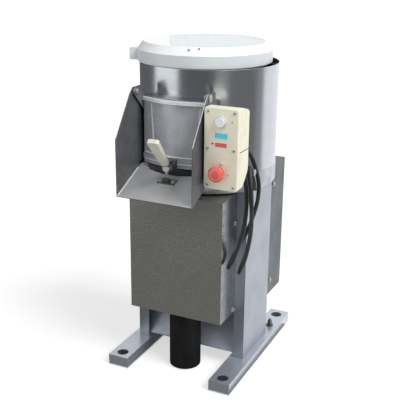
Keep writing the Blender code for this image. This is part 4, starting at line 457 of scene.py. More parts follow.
def carved(piece, tool):
    """Cuts the shape of a tool out of a piece, and removes the tool."""
    only(piece)
    bite = piece.modifiers.new("bite", "BOOLEAN")
    bite.operation = "DIFFERENCE"
    bite.object = tool
    bpy.ops.object.modifier_apply(modifier=bite.name)
    bpy.data.objects.remove(tool)


def joined(piece, other):
    """Makes another piece part of a piece."""
    only(piece)
    other.select_set(True)
    bpy.ops.object.join()


def turned(direction):
    """The turn that points Z along a direction."""
    return Vector(direction).to_track_quat("Z", "Y").to_matrix().to_4x4()


def pan_screw(name, place, axis, scale):
    """A pan-head screw with a cross slot on a washer; its seat is at place and it points along axis."""
    dome = SCREW_DOME * scale
    head = shaped(cylinder, name, vertices=24, radius=SCREW_HEAD * scale, depth=dome,
                  location=(0.0, 0.0, WASHER_SHEET + dome / 2))
    rounded(head, dome * DOME_ROUND_SHARE, 3)
    for turn in (0.0, math.pi / 2):
        carved(head, shaped(cube, "slot", (SCREW_SLOT * scale, dome * SLOT_WIDTH_SHARE, dome * SLOT_DEPTH_SHARE),
                            size=1.0, location=(0.0, 0.0, WASHER_SHEET + dome), rotation=(0.0, 0.0, turn)))
    washer = shaped(cylinder, "washer", vertices=24, radius=WASHER * scale, depth=WASHER_SHEET,
                    location=(0.0, 0.0, WASHER_SHEET / 2))
    joined(head, rounded(washer, WASHER_SHEET * WASHER_ROUND_SHARE))
    head.data.name = name
    head.data.transform(Matrix.Translation(at(*place)) @ turned(axis))
    dressed(head, ZINC, "frame")


def side_screws(name, half_width, places):
    """Screws on both sides of a cover, each at a height and a depth."""
    for side, label in SIDES:
        for number, (z, y) in enumerate(places):
            pan_screw(f"{name}_screw_{label}_{number}", (side * half_width, y, z), (side, 0.0, 0.0),
                      COVER_SCREW_SCALE)


side_screws("front_guard", 0.1377, ((0.188, -0.1095), (0.443, -0.1095)))


# Rear cover
# A deeper folded cover round the motor, curved at the top where it meets the drum, painted dark grey and
# screwed to the legs from the sides.

REAR_EDGE = 0.0009
REAR_ENAMEL = finish("rear_grey_enamel", "#575c61", "#4d5257", 0.08, 0.004, 0.00006, 0.34, 0.46, 0.35)
softened("rear_cover", "rear_guard", REAR_EDGE, REAR_ENAMEL, "frame")
side_screws("rear_guard", 0.1679, ((0.200, 0.1015), (0.500, 0.1015)))


# Drum base
# A round tray cast in aluminium that closes the drum below and drains to a spout at the front. Behind the
# chute it is painted dark as the shade in the gap there, and so are the drum's foot and the neck's sill.

SHADE_GAP_LEFT = -0.104
SHADE_GAP_RIGHT = 0.070
SHADE_GAP_BACK = -0.10
# Cast aluminium, machined on its rim: light grey, satin, with a fine sand grain.
CAST_ALUMINIUM = finish("cast_aluminium", "#c9ccd0", "#b1b4b9", 0.03, 0.0014, 0.00005, 0.36, 0.5, 0.9)
# Painted shade for the gap behind the chute: near-black, rough, hardly metallic.
GAP_SHADE_METAL = finish("painted_gap_shade_metal", "#3c3e40", "#2c2e30", 0.02, 0.0014, 0.00003, 0.5, 0.65, 0.3)
tray = softened("drum_base", "drum_tray", CAST_EDGE, CAST_ALUMINIUM, "frame", 3)
# The tray's faces behind the chute get the painted shade of the gap.
repainted(tray, GAP_SHADE_METAL, lambda face, spot: SHADE_GAP_LEFT < spot.x < SHADE_GAP_RIGHT and spot.y < SHADE_GAP_BACK)


# Drum
# A cylinder rolled from 1.5 mm stainless sheet, polished round and round, with a hemmed lower edge and a
# welded seam at the back. The outlet is cut out at the front, behind the neck.

DRUM_Y = 0.0139
DRUM_RADIUS = 0.1903
DRUM_LOW = 0.5769
DRUM_HIGH = 0.8534
DRUM_SHEET = 0.0015
OPENING_LOW = 0.612
OPENING_HIGH = 0.762
OPENING_HALF = 0.0855
HEM = 0.0009
HEM_HEIGHT = 0.006
HEM_SHARE = 0.75
SEAM_SIZE = (0.004, 0.0012, DRUM_HIGH - DRUM_LOW - 0.016)
SLACK = 0.001
# Stainless steel, polished round the drum: bright, with hair-fine scratches that run level.
POLISHED_STEEL = finish("polished_stainless_sheet", "#c6cad0", "#bfc3ca", 0.05, 0.0016, 0.000003, 0.20, 0.26,
                        1.0, run=(0.25, 0.25, 5.0))


def sliced(place, normal, **how):
    """Cuts all of the open mesh along a plane."""
    bpy.ops.mesh.select_all(action="SELECT")
    bpy.ops.mesh.bisect(plane_co=place, plane_no=normal, **how)


def thickened(piece, sheet):
    """Gives a bare surface the thickness of a sheet, on its inner side."""
    only(piece)
    wall = piece.modifiers.new("wall", "SOLIDIFY")
    wall.thickness = sheet
    wall.offset = -1.0
    bpy.ops.object.modifier_apply(modifier=wall.name)


drum = shaped(cylinder, "drum_wall", vertices=180, radius=DRUM_RADIUS - HEM, depth=DRUM_HIGH - DRUM_LOW,
              end_fill_type="NOTHING", location=at(0.0, DRUM_Y, (DRUM_HIGH + DRUM_LOW) / 2))
edit_mode()
for height in (OPENING_LOW, OPENING_HIGH, DRUM_LOW + HEM_HEIGHT, DRUM_HIGH - HEM_HEIGHT):
    sliced((0.0, 0.0, height), (0.0, 0.0, 1.0))
object_mode()
axis = at(0.0, DRUM_Y, 0.0)
for part in (*drum.data.vertices, *drum.data.edges):
    part.select = False
for face in drum.data.polygons:
    middle = face.center - axis
    face.select = (OPENING_LOW < face.center.z < OPENING_HIGH and middle.y < 0.0
                   and abs(middle.x) < OPENING_HALF - SLACK)
edit_mode()
bpy.ops.mesh.select_mode(type="FACE")
bpy.ops.mesh.delete(type="FACE")
bpy.ops.mesh.select_mode(type="VERT")
object_mode()
for vertex in drum.data.vertices:
    to_rim = min(vertex.co.z - DRUM_LOW, DRUM_HIGH - vertex.co.z)
    if to_rim < HEM_HEIGHT + SLACK:
        out = vertex.co - axis
        out.z = 0.0
        vertex.co += out.normalized() * HEM * (1.0 if to_rim < 2 * SLACK else HEM_SHARE)
thickened(drum, DRUM_SHEET)
rounded(drum, SLIM_EDGE, 2, 40.0)
dressed(drum, POLISHED_STEEL, "frame")
# The drum's front below the opening gets the painted shade of the gap.
repainted(drum, GAP_SHADE_METAL, lambda face, spot: abs(spot.x) < -SHADE_GAP_LEFT and spot.y < DRUM_Y
          and spot.z < OPENING_LOW)
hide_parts("drum_shell")

seam = shaped(cube, "drum_seam", SEAM_SIZE, size=1.0,
              location=at(0.0, DRUM_Y + DRUM_RADIUS - HEM, (DRUM_LOW + DRUM_HIGH) / 2))
dressed(rounded(seam, SLIM_EDGE, 3), POLISHED_STEEL, "frame")


# Abrasive liner and disc
# The inside of the drum and the turning disc below are coated with silicon carbide grit in resin, which
# rubs the skin off the potatoes. The disc has two raised lobes and is held by a domed nut.

GRIT = 0.0016
GRIT_HEIGHT = 0.0006
# Silicon carbide in resin: near-black, glittering grains about 1.5 mm across.
grit = bpy.data.materials.new("silicon_carbide_grit")
tree = blank(grit)
place = add(tree, "TexCoord")
grains = add(tree, "TexVoronoi", {"Vector": place.outputs["Object"], "Scale": 1.0 / GRIT})
tints = add(tree, "SeparateColor", {"Color": grains.outputs["Color"]})
shade = add(tree, "Mix", {0: tints.outputs[0], 6: srgb("#24262a"), 7: srgb("#55585d")}, data_type="RGBA")
bumps = add(tree, "Bump", {"Height": grains.outputs["Distance"], "Distance": GRIT_HEIGHT})
gloss = add(tree, "MapRange", {"Value": tints.outputs[1], "To Min": 0.35, "To Max": 0.85})
shader = add(tree, "BsdfPrincipled", {"Base Color": shade.outputs[2], "Roughness": gloss.outputs[0],
                                                "Normal": bumps.outputs[0]})
add(tree, "OutputMaterial", {"Surface": shader.outputs[0]})
softened("abrasive_liner", "grit_liner", SMALL_EDGE, grit, "frame")
softened("abrasive_disc", "grit_disc", CAST_EDGE, grit, "disc_rotor", 3)
# Stainless steel, turned: mid grey with fine rings.
TURNED_STEEL = finish("turned_steel", "#a9adb2", "#8f9399", 0.008, 0.0007, 0.00001, 0.24, 0.36, 1.0)
softened("disc_nut", "disc_cap_nut", SMALL_EDGE, TURNED_STEEL, "disc_rotor")


# Water inlet
# A hose tail for the rinsing water, turned from brass, with a flange. It passes through the drum's rear
# wall, where a back nut holds it.

softened("water_inlet", "hose_inlet", SLIM_EDGE, BRASS, "frame")


# Waste pipe and its clamp
# A ribless pipe moulded in black rubber is pushed up over the tray's spout. A zinc-plated band clamp
# holds it round its top.

PIPE_EDGE = 0.0015
# Black rubber, moulded: matt, greyed by water marks.
BLACK_RUBBER = finish("black_rubber", "#0d0e0f", "#17181a", 0.03, 0.0015, 0.00005, 0.55, 0.72,
                      more={"Specular IOR Level": 0.3})
softened("drain_pipe", "waste_hose", PIPE_EDGE, BLACK_RUBBER, "frame", 3)
softened("drain_clamp", "hose_clamp", THIN_EDGE, ZINC, "frame")


# Outlet neck and gasket
# A frame folded from stainless sheet is welded round the drum's opening. A soft black rubber seal lies in
# it for the door.

NECK_SILL = 0.6100
# Stainless sheet, satin: grey with level scratches from the mill.
SATIN_STEEL = finish("satin_stainless_sheet", "#a3a6ab", "#8e9197", 0.04, 0.0016, 0.00002, 0.27, 0.38, 1.0,
                     run=(0.4, 0.4, 3.0))
neck = softened("outlet_neck", "outlet_frame", SLIM_EDGE, SATIN_STEEL, "frame")
# The neck's sill gets the painted shade of the gap.
repainted(neck, GAP_SHADE_METAL, lambda face, spot: spot.z < NECK_SILL)
softened("door_gasket", "door_seal", CAST_EDGE, BLACK_RUBBER, "frame", 3)


# Door
# A curved plate cast in aluminium and sprayed silver, with a thick band along its top and a ribbed foot.
# Two arms reach back from its ends to the pivot bolts. A flat border strip runs down each side of the
# field, with a painted highlight along its inner edge, and two beads painted bright as highlights run
# along the foot.

DOOR_EDGE = 0.0014
ARM_FACE = 0.0985
FIELD_BACK = -0.17
BAND_LOW = 0.7672
LEDGE_HIGH = 0.6285
DOOR_FIELD = 0.2130
BORDER_INNER = 0.0690
BORDER_OUTER = 0.0975
BORDER_LOW = 0.6315
BORDER_HIGH = 0.7655
BORDER_WIDTH = BORDER_OUTER - BORDER_INNER
BORDER_CORNER = 0.008
BORDER_PROUD = 0.0016
BORDER_SUNK = 0.0004
BORDER_SPREAD = 0.009
EDGE_HIGHLIGHT_WIDTH = 0.0030
BORDER_CUTS = (0.08, 0.3, 0.55, 0.8)
# Each bead: its name, height, distance from the drum's axis and radius.
BEADS = (("upper", 0.6303, 0.2142, 0.0024), ("lower", 0.6135, 0.2166, 0.0013))
BEAD_HALF = 0.0960
BEAD_ROUND_SHARE = 0.3
# Silver-grey enamel over cast aluminium: satin, cloudy, a little rubbed.
DOOR_ENAMEL = finish("silver_door_enamel", "#c8cad1", "#b0b3ba", 0.045, 0.0025, 0.00005, 0.26, 0.38, 0.2)
# The same enamel, near white: on the top band partly rubbed bright and partly painted highlight, and
# painted highlight on the foot's ledge, the border strips' inner edges and the beads.
RUBBED_AND_HIGHLIGHT_ENAMEL = finish("rubbed_band_and_painted_highlight_enamel", "#f4f5f8", "#e3e5ea", 0.03, 0.002, 0.00004, 0.24, 0.34, 0.15)
# And darker where the thin border strips are glued on and seldom touched.
BORDER_ENAMEL = finish("border_strip_enamel", "#c6c7cd", "#b8b9bf", 0.03, 0.002, 0.00004, 0.26, 0.38, 0.2)
# The arms, painted thinly and darker with grease from the bolts.
ARM_ENAMEL = finish("greasy_arm_enamel", "#85888e", "#75787e", 0.03, 0.002, 0.00004, 0.28, 0.40, 0.4)


def on_band(face, spot):
    """Whether a face of the door lies on its top band or on the ledge of its foot, which get a painted highlight.
    """
    facing = spot.y < FIELD_BACK and face.normal.y < 0.5
    ledge = spot.z < LEDGE_HIGH and face.normal.z > 0.3
    return abs(spot.x) < ARM_FACE and facing and (spot.z > BAND_LOW or ledge)


def on_highlight_edge(face, spot):
    """Whether a face of a border strip lies along its inner edge, where a highlight is painted."""
    return abs(spot.x) < BORDER_INNER - BORDER_SPREAD * down_border(spot.z) + EDGE_HIGHLIGHT_WIDTH


def down_border(height):
    """How far down the border strips a height is, from 0 to 1."""
    return (BORDER_HIGH - height) / (BORDER_HIGH - BORDER_LOW)


leaf = softened("door", "outlet_door", DOOR_EDGE, DOOR_ENAMEL, "door", 3)
# The top band and the foot's ledge get the near-white enamel: painted highlight, partly rubbed on the band.
repainted(leaf, RUBBED_AND_HIGHLIGHT_ENAMEL, on_band)
repainted(leaf, ARM_ENAMEL, lambda face, spot: abs(spot.x) > ARM_FACE)
for side, label in SIDES:
    strip = shaped(plane, f"door_border_{label}", (BORDER_WIDTH, BORDER_HIGH - BORDER_LOW, 1.0), size=1.0,
                   location=(side * (BORDER_INNER + BORDER_OUTER) / 2, 0.0, (BORDER_LOW + BORDER_HIGH) / 2),
                   rotation=(math.pi / 2, 0.0, 0.0))
    edit_mode()
    bpy.ops.mesh.select_all(action="SELECT")
    bpy.ops.mesh.bevel(offset=BORDER_CORNER, segments=5, affect="VERTICES")
    for share in BORDER_CUTS:
        sliced((side * (BORDER_INNER + share * BORDER_WIDTH), 0.0, 0.0), (1.0, 0.0, 0.0))
    object_mode()
    for vertex in strip.data.vertices:
        inward = (BORDER_OUTER - abs(vertex.co.x)) / BORDER_WIDTH
        vertex.co.x -= side * BORDER_SPREAD * down_border(vertex.co.z) * inward
        vertex.co.y = DRUM_Y - math.sqrt((DOOR_FIELD + BORDER_PROUD) ** 2 - vertex.co.x ** 2)
    strip.data.transform(Matrix.Translation(MIDDLE))
    only(strip)
    edit_mode()
    bpy.ops.mesh.select_all(action="SELECT")
    bpy.ops.mesh.normals_make_consistent(inside=False)
    object_mode()
    if strip.data.polygons[0].normal.y > 0.0:
        strip.data.flip_normals()
    thickened(strip, BORDER_PROUD + BORDER_SUNK)
    rounded(strip, THIN_EDGE, 2, 40.0)
    dressed(strip, BORDER_ENAMEL, "door")
    # The strip's inner edge gets a painted highlight.
    repainted(strip, RUBBED_AND_HIGHLIGHT_ENAMEL, on_highlight_edge)
# Beads painted near white as highlight lines along the foot.
for label, height, turn, thick in BEADS:
    bead = shaped(torus, f"door_bead_{label}", major_segments=144, minor_segments=12, major_radius=turn,
                  minor_radius=thick, location=(0.0, DRUM_Y, height))
    edit_mode()
    for place, normal in (((-BEAD_HALF, 0.0, 0.0), (-1.0, 0.0, 0.0)), ((BEAD_HALF, 0.0, 0.0), (1.0, 0.0, 0.0)),
                          ((0.0, 0.0, 0.0), (0.0, 1.0, 0.0))):
        sliced(place, normal, clear_outer=True, use_fill=True)
    object_mode()
    bead.data.transform(Matrix.Translation(MIDDLE))
    dressed(rounded(bead, thick * BEAD_ROUND_SHARE, 2, 50.0), RUBBED_AND_HIGHLIGHT_ENAMEL, "door")


# Pivot bolts
# Shouldered bolts of zinc-plated steel through the chute's ears, on which the door's arms turn. Each is
# held by a nut inside.

for _, label in SIDES:
    softened(f"pivot_bolt_{label}", f"hinge_bolt_{label}", SLIM_EDGE, ZINC, "frame")
    softened(f"pivot_nut_{label}", f"hinge_nut_{label}", THIN_EDGE, ZINC, "frame")


# Chute
# An open trough folded from 2 mm sheet, riveted to the neck, that slopes down to the front. It is painted
# dark grey, with painted light: paler on the floor, which faces up to the light, and painted highlights
# along both folds. It is bare on its cut edges.

CHUTE_INNER = 0.1053
CHUTE_SHEET = 0.002
CHUTE_SLOPE = math.radians(24.2)
CHUTE_FRONT = -0.308
CHUTE_FOOT = 0.541
LIP_HIGH = 0.545
FLOOR_HIGH = 0.64
FOLD_RADIUS = 0.0016
FOLD_LENGTH = 0.118
FOLD_SET_BACK = 0.0012
FOLD_SINK_SHARE = 0.3
FOLD_RISE_SHARE = 0.5
FOLD_ROUND_SHARE = 0.6
RIVETS = ((-0.188, 0.616), (-0.188, 0.768))
RIVET_HEAD = 0.0042
RIVET_RISE = 0.0018
RIVET_CUT = 0.0001
CHUTE_ENAMEL = finish("dark_grey_chute_enamel", "#686a6c", "#585a5c", 0.05, 0.003, 0.00005, 0.30, 0.44, 0.3)
# The same enamel painted paler on the floor, as painted light where it faces up.
LIT_FLOOR_CHUTE_ENAMEL = finish("painted_light_chute_floor_enamel", "#c2c3c5", "#b0b1b3", 0.05, 0.003, 0.00005, 0.30, 0.42, 0.3)
# And near white on rods laid along the two folds, as painted highlights.
FOLD_HIGHLIGHT = finish("painted_fold_highlight_enamel", "#f4f5f6", "#e4e6e8", 0.02, 0.0012, 0.00002, 0.25, 0.35, 0.1)
# Bare sheared edge of the sheet: bright and slightly rough.
BARE_EDGE = finish("bare_sheared_steel", "#d4d7da", "#bfc3c8", 0.01, 0.001, 0.00002, 0.25, 0.35, 1.0)


def on_cut_edge(face, spot):
    """Whether a face of the chute is a cut edge of its walls or of its front lip."""
    wall = (abs(face.normal.x) < 0.75 and abs(spot.x) > CHUTE_INNER and spot.z > LIP_HIGH
            and face.normal.z > -0.5)
    return wall or (face.normal.y < -0.6 and spot.z < LIP_HIGH)


chute = softened("chute", "outlet_chute", THIN_EDGE, CHUTE_ENAMEL, "frame")
repainted(chute, BARE_EDGE, on_cut_edge)
# The floor gets painted light: paler where it faces up.
repainted(chute, LIT_FLOOR_CHUTE_ENAMEL, lambda face, spot: face.normal.z > 0.8 and abs(spot.x) < CHUTE_INNER
          and spot.z < FLOOR_HIGH)
# Rods in the two bends, painted near white as fold highlights.
for side, label in SIDES:
    fold = shaped(cylinder, f"chute_fold_highlight_{label}", vertices=20, radius=FOLD_RADIUS, depth=FOLD_LENGTH)
    run = Vector((0.0, math.cos(CHUTE_SLOPE), math.sin(CHUTE_SLOPE)))
    foot = Vector((side * (CHUTE_INNER - FOLD_RADIUS * FOLD_SINK_SHARE), CHUTE_FRONT + FOLD_SET_BACK,
                   CHUTE_FOOT + FOLD_RADIUS * FOLD_RISE_SHARE))
    fold.data.transform(Matrix.Translation(at(*(foot + run * FOLD_LENGTH / 2))) @ turned(run))
    dressed(rounded(fold, FOLD_RADIUS * FOLD_ROUND_SHARE, 3), FOLD_HIGHLIGHT, "frame")
for side, label in SIDES:
    for number, (y, z) in enumerate(RIVETS):
        rivet = shaped(bpy.ops.mesh.primitive_uv_sphere_add, f"chute_rivet_{label}_{number}",
                       (1.0, 1.0, RIVET_RISE / RIVET_HEAD), segments=20, ring_count=10, radius=RIVET_HEAD)
        edit_mode()
        sliced((0.0, 0.0, RIVET_CUT), (0.0, 0.0, 1.0), clear_inner=True, use_fill=True)
        object_mode()
        bpy.ops.object.shade_smooth_by_angle(angle=math.radians(50.0))
        seat = Matrix.Translation(at(side * (CHUTE_INNER + CHUTE_SHEET), y, z))
        rivet.data.transform(seat @ turned((side, 0.0, 0.0)))
        dressed(rivet, ZINC, "frame")


# Door latch
# A fork is bolted on the door's foot. A cast lever with a bright round pad turns on its pin: its tongue hooks
# behind the keeper on the chute's floor, and its flat tang carries the handle.

PAD_PLACE = (0.0020, -0.2440, 0.6125)
PAD_RADIUS = 0.0098
PAD_DEPTH = 0.0034
PAD_SINK = 0.0006
PAD_ROUND_SHARE = 0.42
KEEPER_Y = -0.235
KEEPER_SCREW_X = 0.0180
KEEPER_SCREW_SCALE = 1.15
KEEPER_SHEET = 0.0024
# Zinc plate worn grey on the fork: mid grey, satin.
PIN_STEEL = finish("worn_zinc_plate", "#8c8f93", "#74777b", 0.008, 0.0009, 0.00001, 0.28, 0.4, 0.85)
# The lever's pad, turned and handled: pale, satin.
PAD_STEEL = finish("bright_turned_steel", "#cfd2d8", "#c2c5cb", 0.02, 0.0007, 0.000004, 0.28, 0.34, 0.35)
# Steel browned in oil: dark grey, satin.
OILED_STEEL = finish("oiled_steel", "#6d6f70", "#565859", 0.008, 0.0009, 0.00002, 0.28, 0.42, 0.8)
softened("latch_bracket", "latch_fork", SMALL_EDGE, PIN_STEEL, "door")
softened("latch_pin", "latch_pivot", PIN_EDGE, ZINC, "door")
softened("latch_lever", "latch_arm", SMALL_EDGE, TURNED_STEEL, "latch")
pad = shaped(cylinder, "latch_arm_pad", vertices=48, radius=PAD_RADIUS, depth=PAD_DEPTH,
             rotation=(math.pi / 2, 0.0, 0.0),
             location=at(PAD_PLACE[0], PAD_PLACE[1] - PAD_DEPTH / 2 + PAD_SINK, PAD_PLACE[2]))
dressed(rounded(pad, PAD_DEPTH * PAD_ROUND_SHARE, 4), PAD_STEEL, "latch")
softened("latch_keeper", "latch_strike", SMALL_EDGE, OILED_STEEL, "frame")
seat = CHUTE_FOOT + (KEEPER_Y - CHUTE_FRONT) * math.tan(CHUTE_SLOPE)
normal = Vector((0.0, -math.sin(CHUTE_SLOPE), math.cos(CHUTE_SLOPE)))
for side, label in SIDES:
    spot = Vector((side * KEEPER_SCREW_X, KEEPER_Y, seat)) + normal * KEEPER_SHEET
    pan_screw(f"latch_strike_screw_{label}", spot, normal, KEEPER_SCREW_SCALE)


# Latch handle
# A flat handle moulded in beige plastic on the lever's tang. It widens to its end and all its edges are
# rounded.

GRIP_EDGE = 0.0022
# Moulded nylon: warm grey-beige, satin, rubbed shiny by hands.
BEIGE_NYLON = finish("beige_moulded_nylon", "#e6e3d3", "#d6d3c3", 0.02, 0.0012, 0.00003, 0.32, 0.46)
softened("latch_grip", "latch_handle", GRIP_EDGE, BEIGE_NYLON, "latch", 4)


# Control box
# A two-part box of warm white plastic, screwed together from the front at its six corners and sides. The
# back half has a seam round its middle, painted dark as the shade in its groove, a sloping heel and a
# rounded crown.

BOX_LEFT = 0.1145
BOX_RIGHT = 0.2045
BOX_FACE = -0.262
BOX_SPLIT = -0.249
BOX_BACK = -0.1901
BOX_LOW = 0.582
BOX_HIGH = 0.785
BOX_X = (BOX_LEFT + BOX_RIGHT) / 2
BOX_Z = (BOX_LOW + BOX_HIGH) / 2
BACK_Y = (BOX_SPLIT + BOX_BACK) / 2
BACK_GAP = 0.0004
FRONT_GAP = 0.0002
BOX_CORNER = 0.0068
BACK_EDGE = 0.0022
FACE_EDGE = 0.0030
BOX_HEEL = ((-0.236, 0.582), (-0.2207, 0.595), (-0.198, 0.6206), (-0.190, 0.642))
BOX_CROWN = ((-0.236, 0.785), (-0.2053, 0.7767), (-0.190, 0.7677))
BOX_SEAM = 0.678
SEAM_HEIGHT = 0.0022
SEAM_HALF = 0.0013
SEAM_AREA = 0.0008
SEAM_CORE = (0.962, 0.95, 1.0, 1.0)
SEAM_CORE_SHIFT = 0.0005
BOX_SCREW_X = (0.1250, 0.1940)
BOX_SCREW_Z = (0.592, 0.684, 0.775)
BOX_SCREW_SCALE = 0.55
# ABS, moulded: warm white, satin, with the faint spark-eroded grain of its tool.
WARM_ABS = finish("warm_white_abs", "#f1eed8", "#e6e2cb", 0.05, 0.0012, 0.00003, 0.34, 0.46)
# Dust that has settled in the seam.
# Painted shade: dark grey-brown in the seam's groove.
SEAM_SHADE_ABS = finish("painted_seam_shade_abs", "#6b675a", "#585548", 0.004, 0.0008, 0.00002, 0.6, 0.75)


def box_shell(name, front, back):
    """A box as wide and high as the control box between two depths, with its four long corners rounded."""
    shell = shaped(cube, name, (BOX_RIGHT - BOX_LEFT, back - front, BOX_HIGH - BOX_LOW), size=1.0,
                   location=(BOX_X, (front + back) / 2, BOX_Z))
    for edge in shell.data.edges:
        first, second = (shell.data.vertices[index].co for index in edge.vertices)
        edge.select = abs(first.y - second.y) > 0.001
    for face in shell.data.polygons:
        face.select = False
    edit_mode()
    bpy.ops.mesh.select_mode(type="EDGE")
    bpy.ops.mesh.bevel(offset=BOX_CORNER, segments=6, affect="EDGES")
    object_mode()
    return shell


back_half = box_shell("control_box_back", BOX_SPLIT + BACK_GAP, BOX_BACK)
edit_mode()
for corners in (BOX_HEEL, BOX_CROWN):
    for (y0, z0), (y1, z1) in zip(corners, corners[1:]):
        along = Vector((0.0, y1 - y0, z1 - z0)).normalized()
        out = Vector((0.0, along.z, -along.y))
        sliced((0.0, y0, z0), out if out.y >= 0.0 else -out, clear_outer=True, use_fill=True)
object_mode()
rounded(back_half, BACK_EDGE, 4, 12.0)
groove = shaped(cube, "groove", (BOX_RIGHT - BOX_LEFT + 0.01, BOX_BACK - BOX_SPLIT + 0.02, SEAM_HEIGHT), size=1.0,
                location=(BOX_X, BACK_Y, BOX_SEAM))
core = placed("core", back_half.data.copy())
inner = Vector((BOX_X, BACK_Y - SEAM_CORE_SHIFT, BOX_Z))
core.data.transform(Matrix.Translation(inner) @ Matrix.Diagonal(SEAM_CORE) @ Matrix.Translation(-inner))
carved(groove, core)
carved(back_half, groove)
back_half.data.transform(Matrix.Translation(MIDDLE))
dressed(back_half, WARM_ABS, "frame")
# The seam's groove gets painted shade.
repainted(back_half, SEAM_SHADE_ABS, lambda face, spot: abs(spot.z - BOX_SEAM) < SEAM_HALF and face.area < SEAM_AREA)
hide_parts("control_box_body")

front_half = box_shell("control_box_front", BOX_FACE, BOX_SPLIT - FRONT_GAP)
for edge in front_half.data.edges:
    edge.select = all(front_half.data.vertices[index].co.y < BOX_FACE + 0.0001 for index in edge.vertices)
for face in front_half.data.polygons:
    face.select = face.normal.y < -0.9
edit_mode()
bpy.ops.mesh.select_mode(type="FACE")
bpy.ops.mesh.bevel(offset=FACE_EDGE, segments=5, affect="EDGES")
object_mode()
rounded(front_half, SMALL_EDGE)
front_half.data.transform(Matrix.Translation(MIDDLE))
dressed(front_half, WARM_ABS, "frame")
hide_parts("control_box_lid")
for number, (x, z) in enumerate((x, z) for x in BOX_SCREW_X for z in BOX_SCREW_Z):
    pan_screw(f"control_box_screw_{number}", (x, BOX_FACE - 0.0002, z), (0.0, -1.0, 0.0), BOX_SCREW_SCALE)


# Plates and marks on the box
# Small plates of coloured plastic film, glued on the box's face and left bare. A red mark lies beside each
# button.

# Printed polycarbonate film: even colour, satin, with a faint texture.
PLATE_FILM = {colour: finish(f"{colour}_printed_film", one, other, 0.02, 0.0008, 0.00001, 0.30, 0.38)
              for colour, one, other in (("turquoise", "#56d4e2", "#5fdbe8"), ("red", "#e8615a", "#ee6c64"),
                                         ("white", "#f1f1ee", "#e9e9e6"), ("black", "#202022", "#2a2a2c"))}
PLATE_EDGE = 0.0002
# Each plate: its name, colour, place, width, height, corner radius and thickness.
PLATES = (
    ("turquoise_plate", "turquoise", 0.1605, 0.7175, 0.0330, 0.0130, 0.0012, 0.0006),
    ("red_plate", "red", 0.1600, 0.6950, 0.0300, 0.0100, 0.0010, 0.0006),
    ("oval_plate", "white", 0.1600, 0.6755, 0.0120, 0.0070, 0.0034, 0.0006),
    ("dot_plate", "black", 0.1380, 0.6970, 0.0044, 0.0044, 0.0021, 0.0006),
    ("start_mark", "red", 0.1880, 0.7530, 0.0022, 0.0050, 0.0005, 0.0004),
    ("stop_mark", "red", 0.1800, 0.6230, 0.0022, 0.0050, 0.0005, 0.0004),
)
for name, colour, x, z, width, height, corner, proud in PLATES:
    plate = shaped(plane, name, (width, height, 1.0), size=1.0, location=at(x, BOX_FACE, z),
                   rotation=(math.pi / 2, 0.0, 0.0))
    edit_mode()
    bpy.ops.mesh.select_all(action="SELECT")
    bpy.ops.mesh.bevel(offset=corner, segments=5, affect="VERTICES")
    bpy.ops.mesh.select_all(action="SELECT")
    bpy.ops.mesh.extrude_region_move(TRANSFORM_OT_translate={"value": (0.0, -proud, 0.0)})
    bpy.ops.mesh.select_all(action="SELECT")
    bpy.ops.mesh.normals_make_consistent(inside=False)
    object_mode()
    dressed(rounded(plate, PLATE_EDGE, 2, 60.0), PLATE_FILM[colour], "frame")


# Start button
# A push button moulded in white plastic, in a satin chromed ring that is fixed in the box's face. The cap
# is slightly hollowed for the finger.

START = at(0.1595, 0.0, 0.752)
CAP_RADIUS = 0.0118
CAP_DEPTH = 0.005
CAP_EDGE = 0.0009
CAP_RIM = 0.0035
HOLLOW_RIM = 0.0040
HOLLOW_DEPTH = 0.0005
STEM_RADIUS = 0.008
STEM_SINK = 0.0001
# Chrome plate, brushed: pale, satin.
SATIN_CHROME = finish("satin_chromed_ring", "#f0f1f2", "#e0e2e4", 0.006, 0.0006, 0.00001, 0.30, 0.42, 0.3)
# Moulded polyamide: white, satin.
WHITE_CAP = finish("white_moulded_cap", "#fafbfc", "#f0f3f5", 0.01, 0.0008, 0.00001, 0.25, 0.35)
softened("start_bezel", "start_ring", SMALL_EDGE, SATIN_CHROME, "frame", 3)
cap_low, cap_high = (corner.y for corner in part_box("start_button"))
cap = shaped(cylinder, "start_cap", vertices=64, radius=CAP_RADIUS, depth=CAP_DEPTH,
             location=(START.x, cap_low + CAP_DEPTH / 2, START.z), rotation=(math.pi / 2, 0.0, 0.0))
for face in cap.data.polygons:
    face.select = face.normal.y < -0.9
for edge in cap.data.edges:
    edge.select = False
edit_mode()
bpy.ops.mesh.select_mode(type="FACE")
bpy.ops.mesh.inset(thickness=CAP_RIM, depth=0.0)
bpy.ops.mesh.inset(thickness=HOLLOW_RIM, depth=-HOLLOW_DEPTH)
object_mode()
rounded(cap, CAP_EDGE, 4)
stem_low = cap_low + CAP_DEPTH - STEM_SINK
stem = shaped(cylinder, "start_stem", vertices=32, radius=STEM_RADIUS, depth=cap_high - stem_low,
              location=(START.x, (stem_low + cap_high) / 2, START.z), rotation=(math.pi / 2, 0.0, 0.0))
joined(cap, rounded(stem, SLIM_EDGE))
dressed(cap, WHITE_CAP, "start")
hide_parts("start_button")


# Stop button
# A red mushroom head that latches when pushed and is freed by a turn. A pale ring is moulded into its
# face, and its collar stays on the box.

STOP = at(0.1555, 0.0, 0.626)
RIDGE_TURN = 0.0126
RIDGE_RADIUS = 0.0007
RIDGE_FLATNESS = 0.7
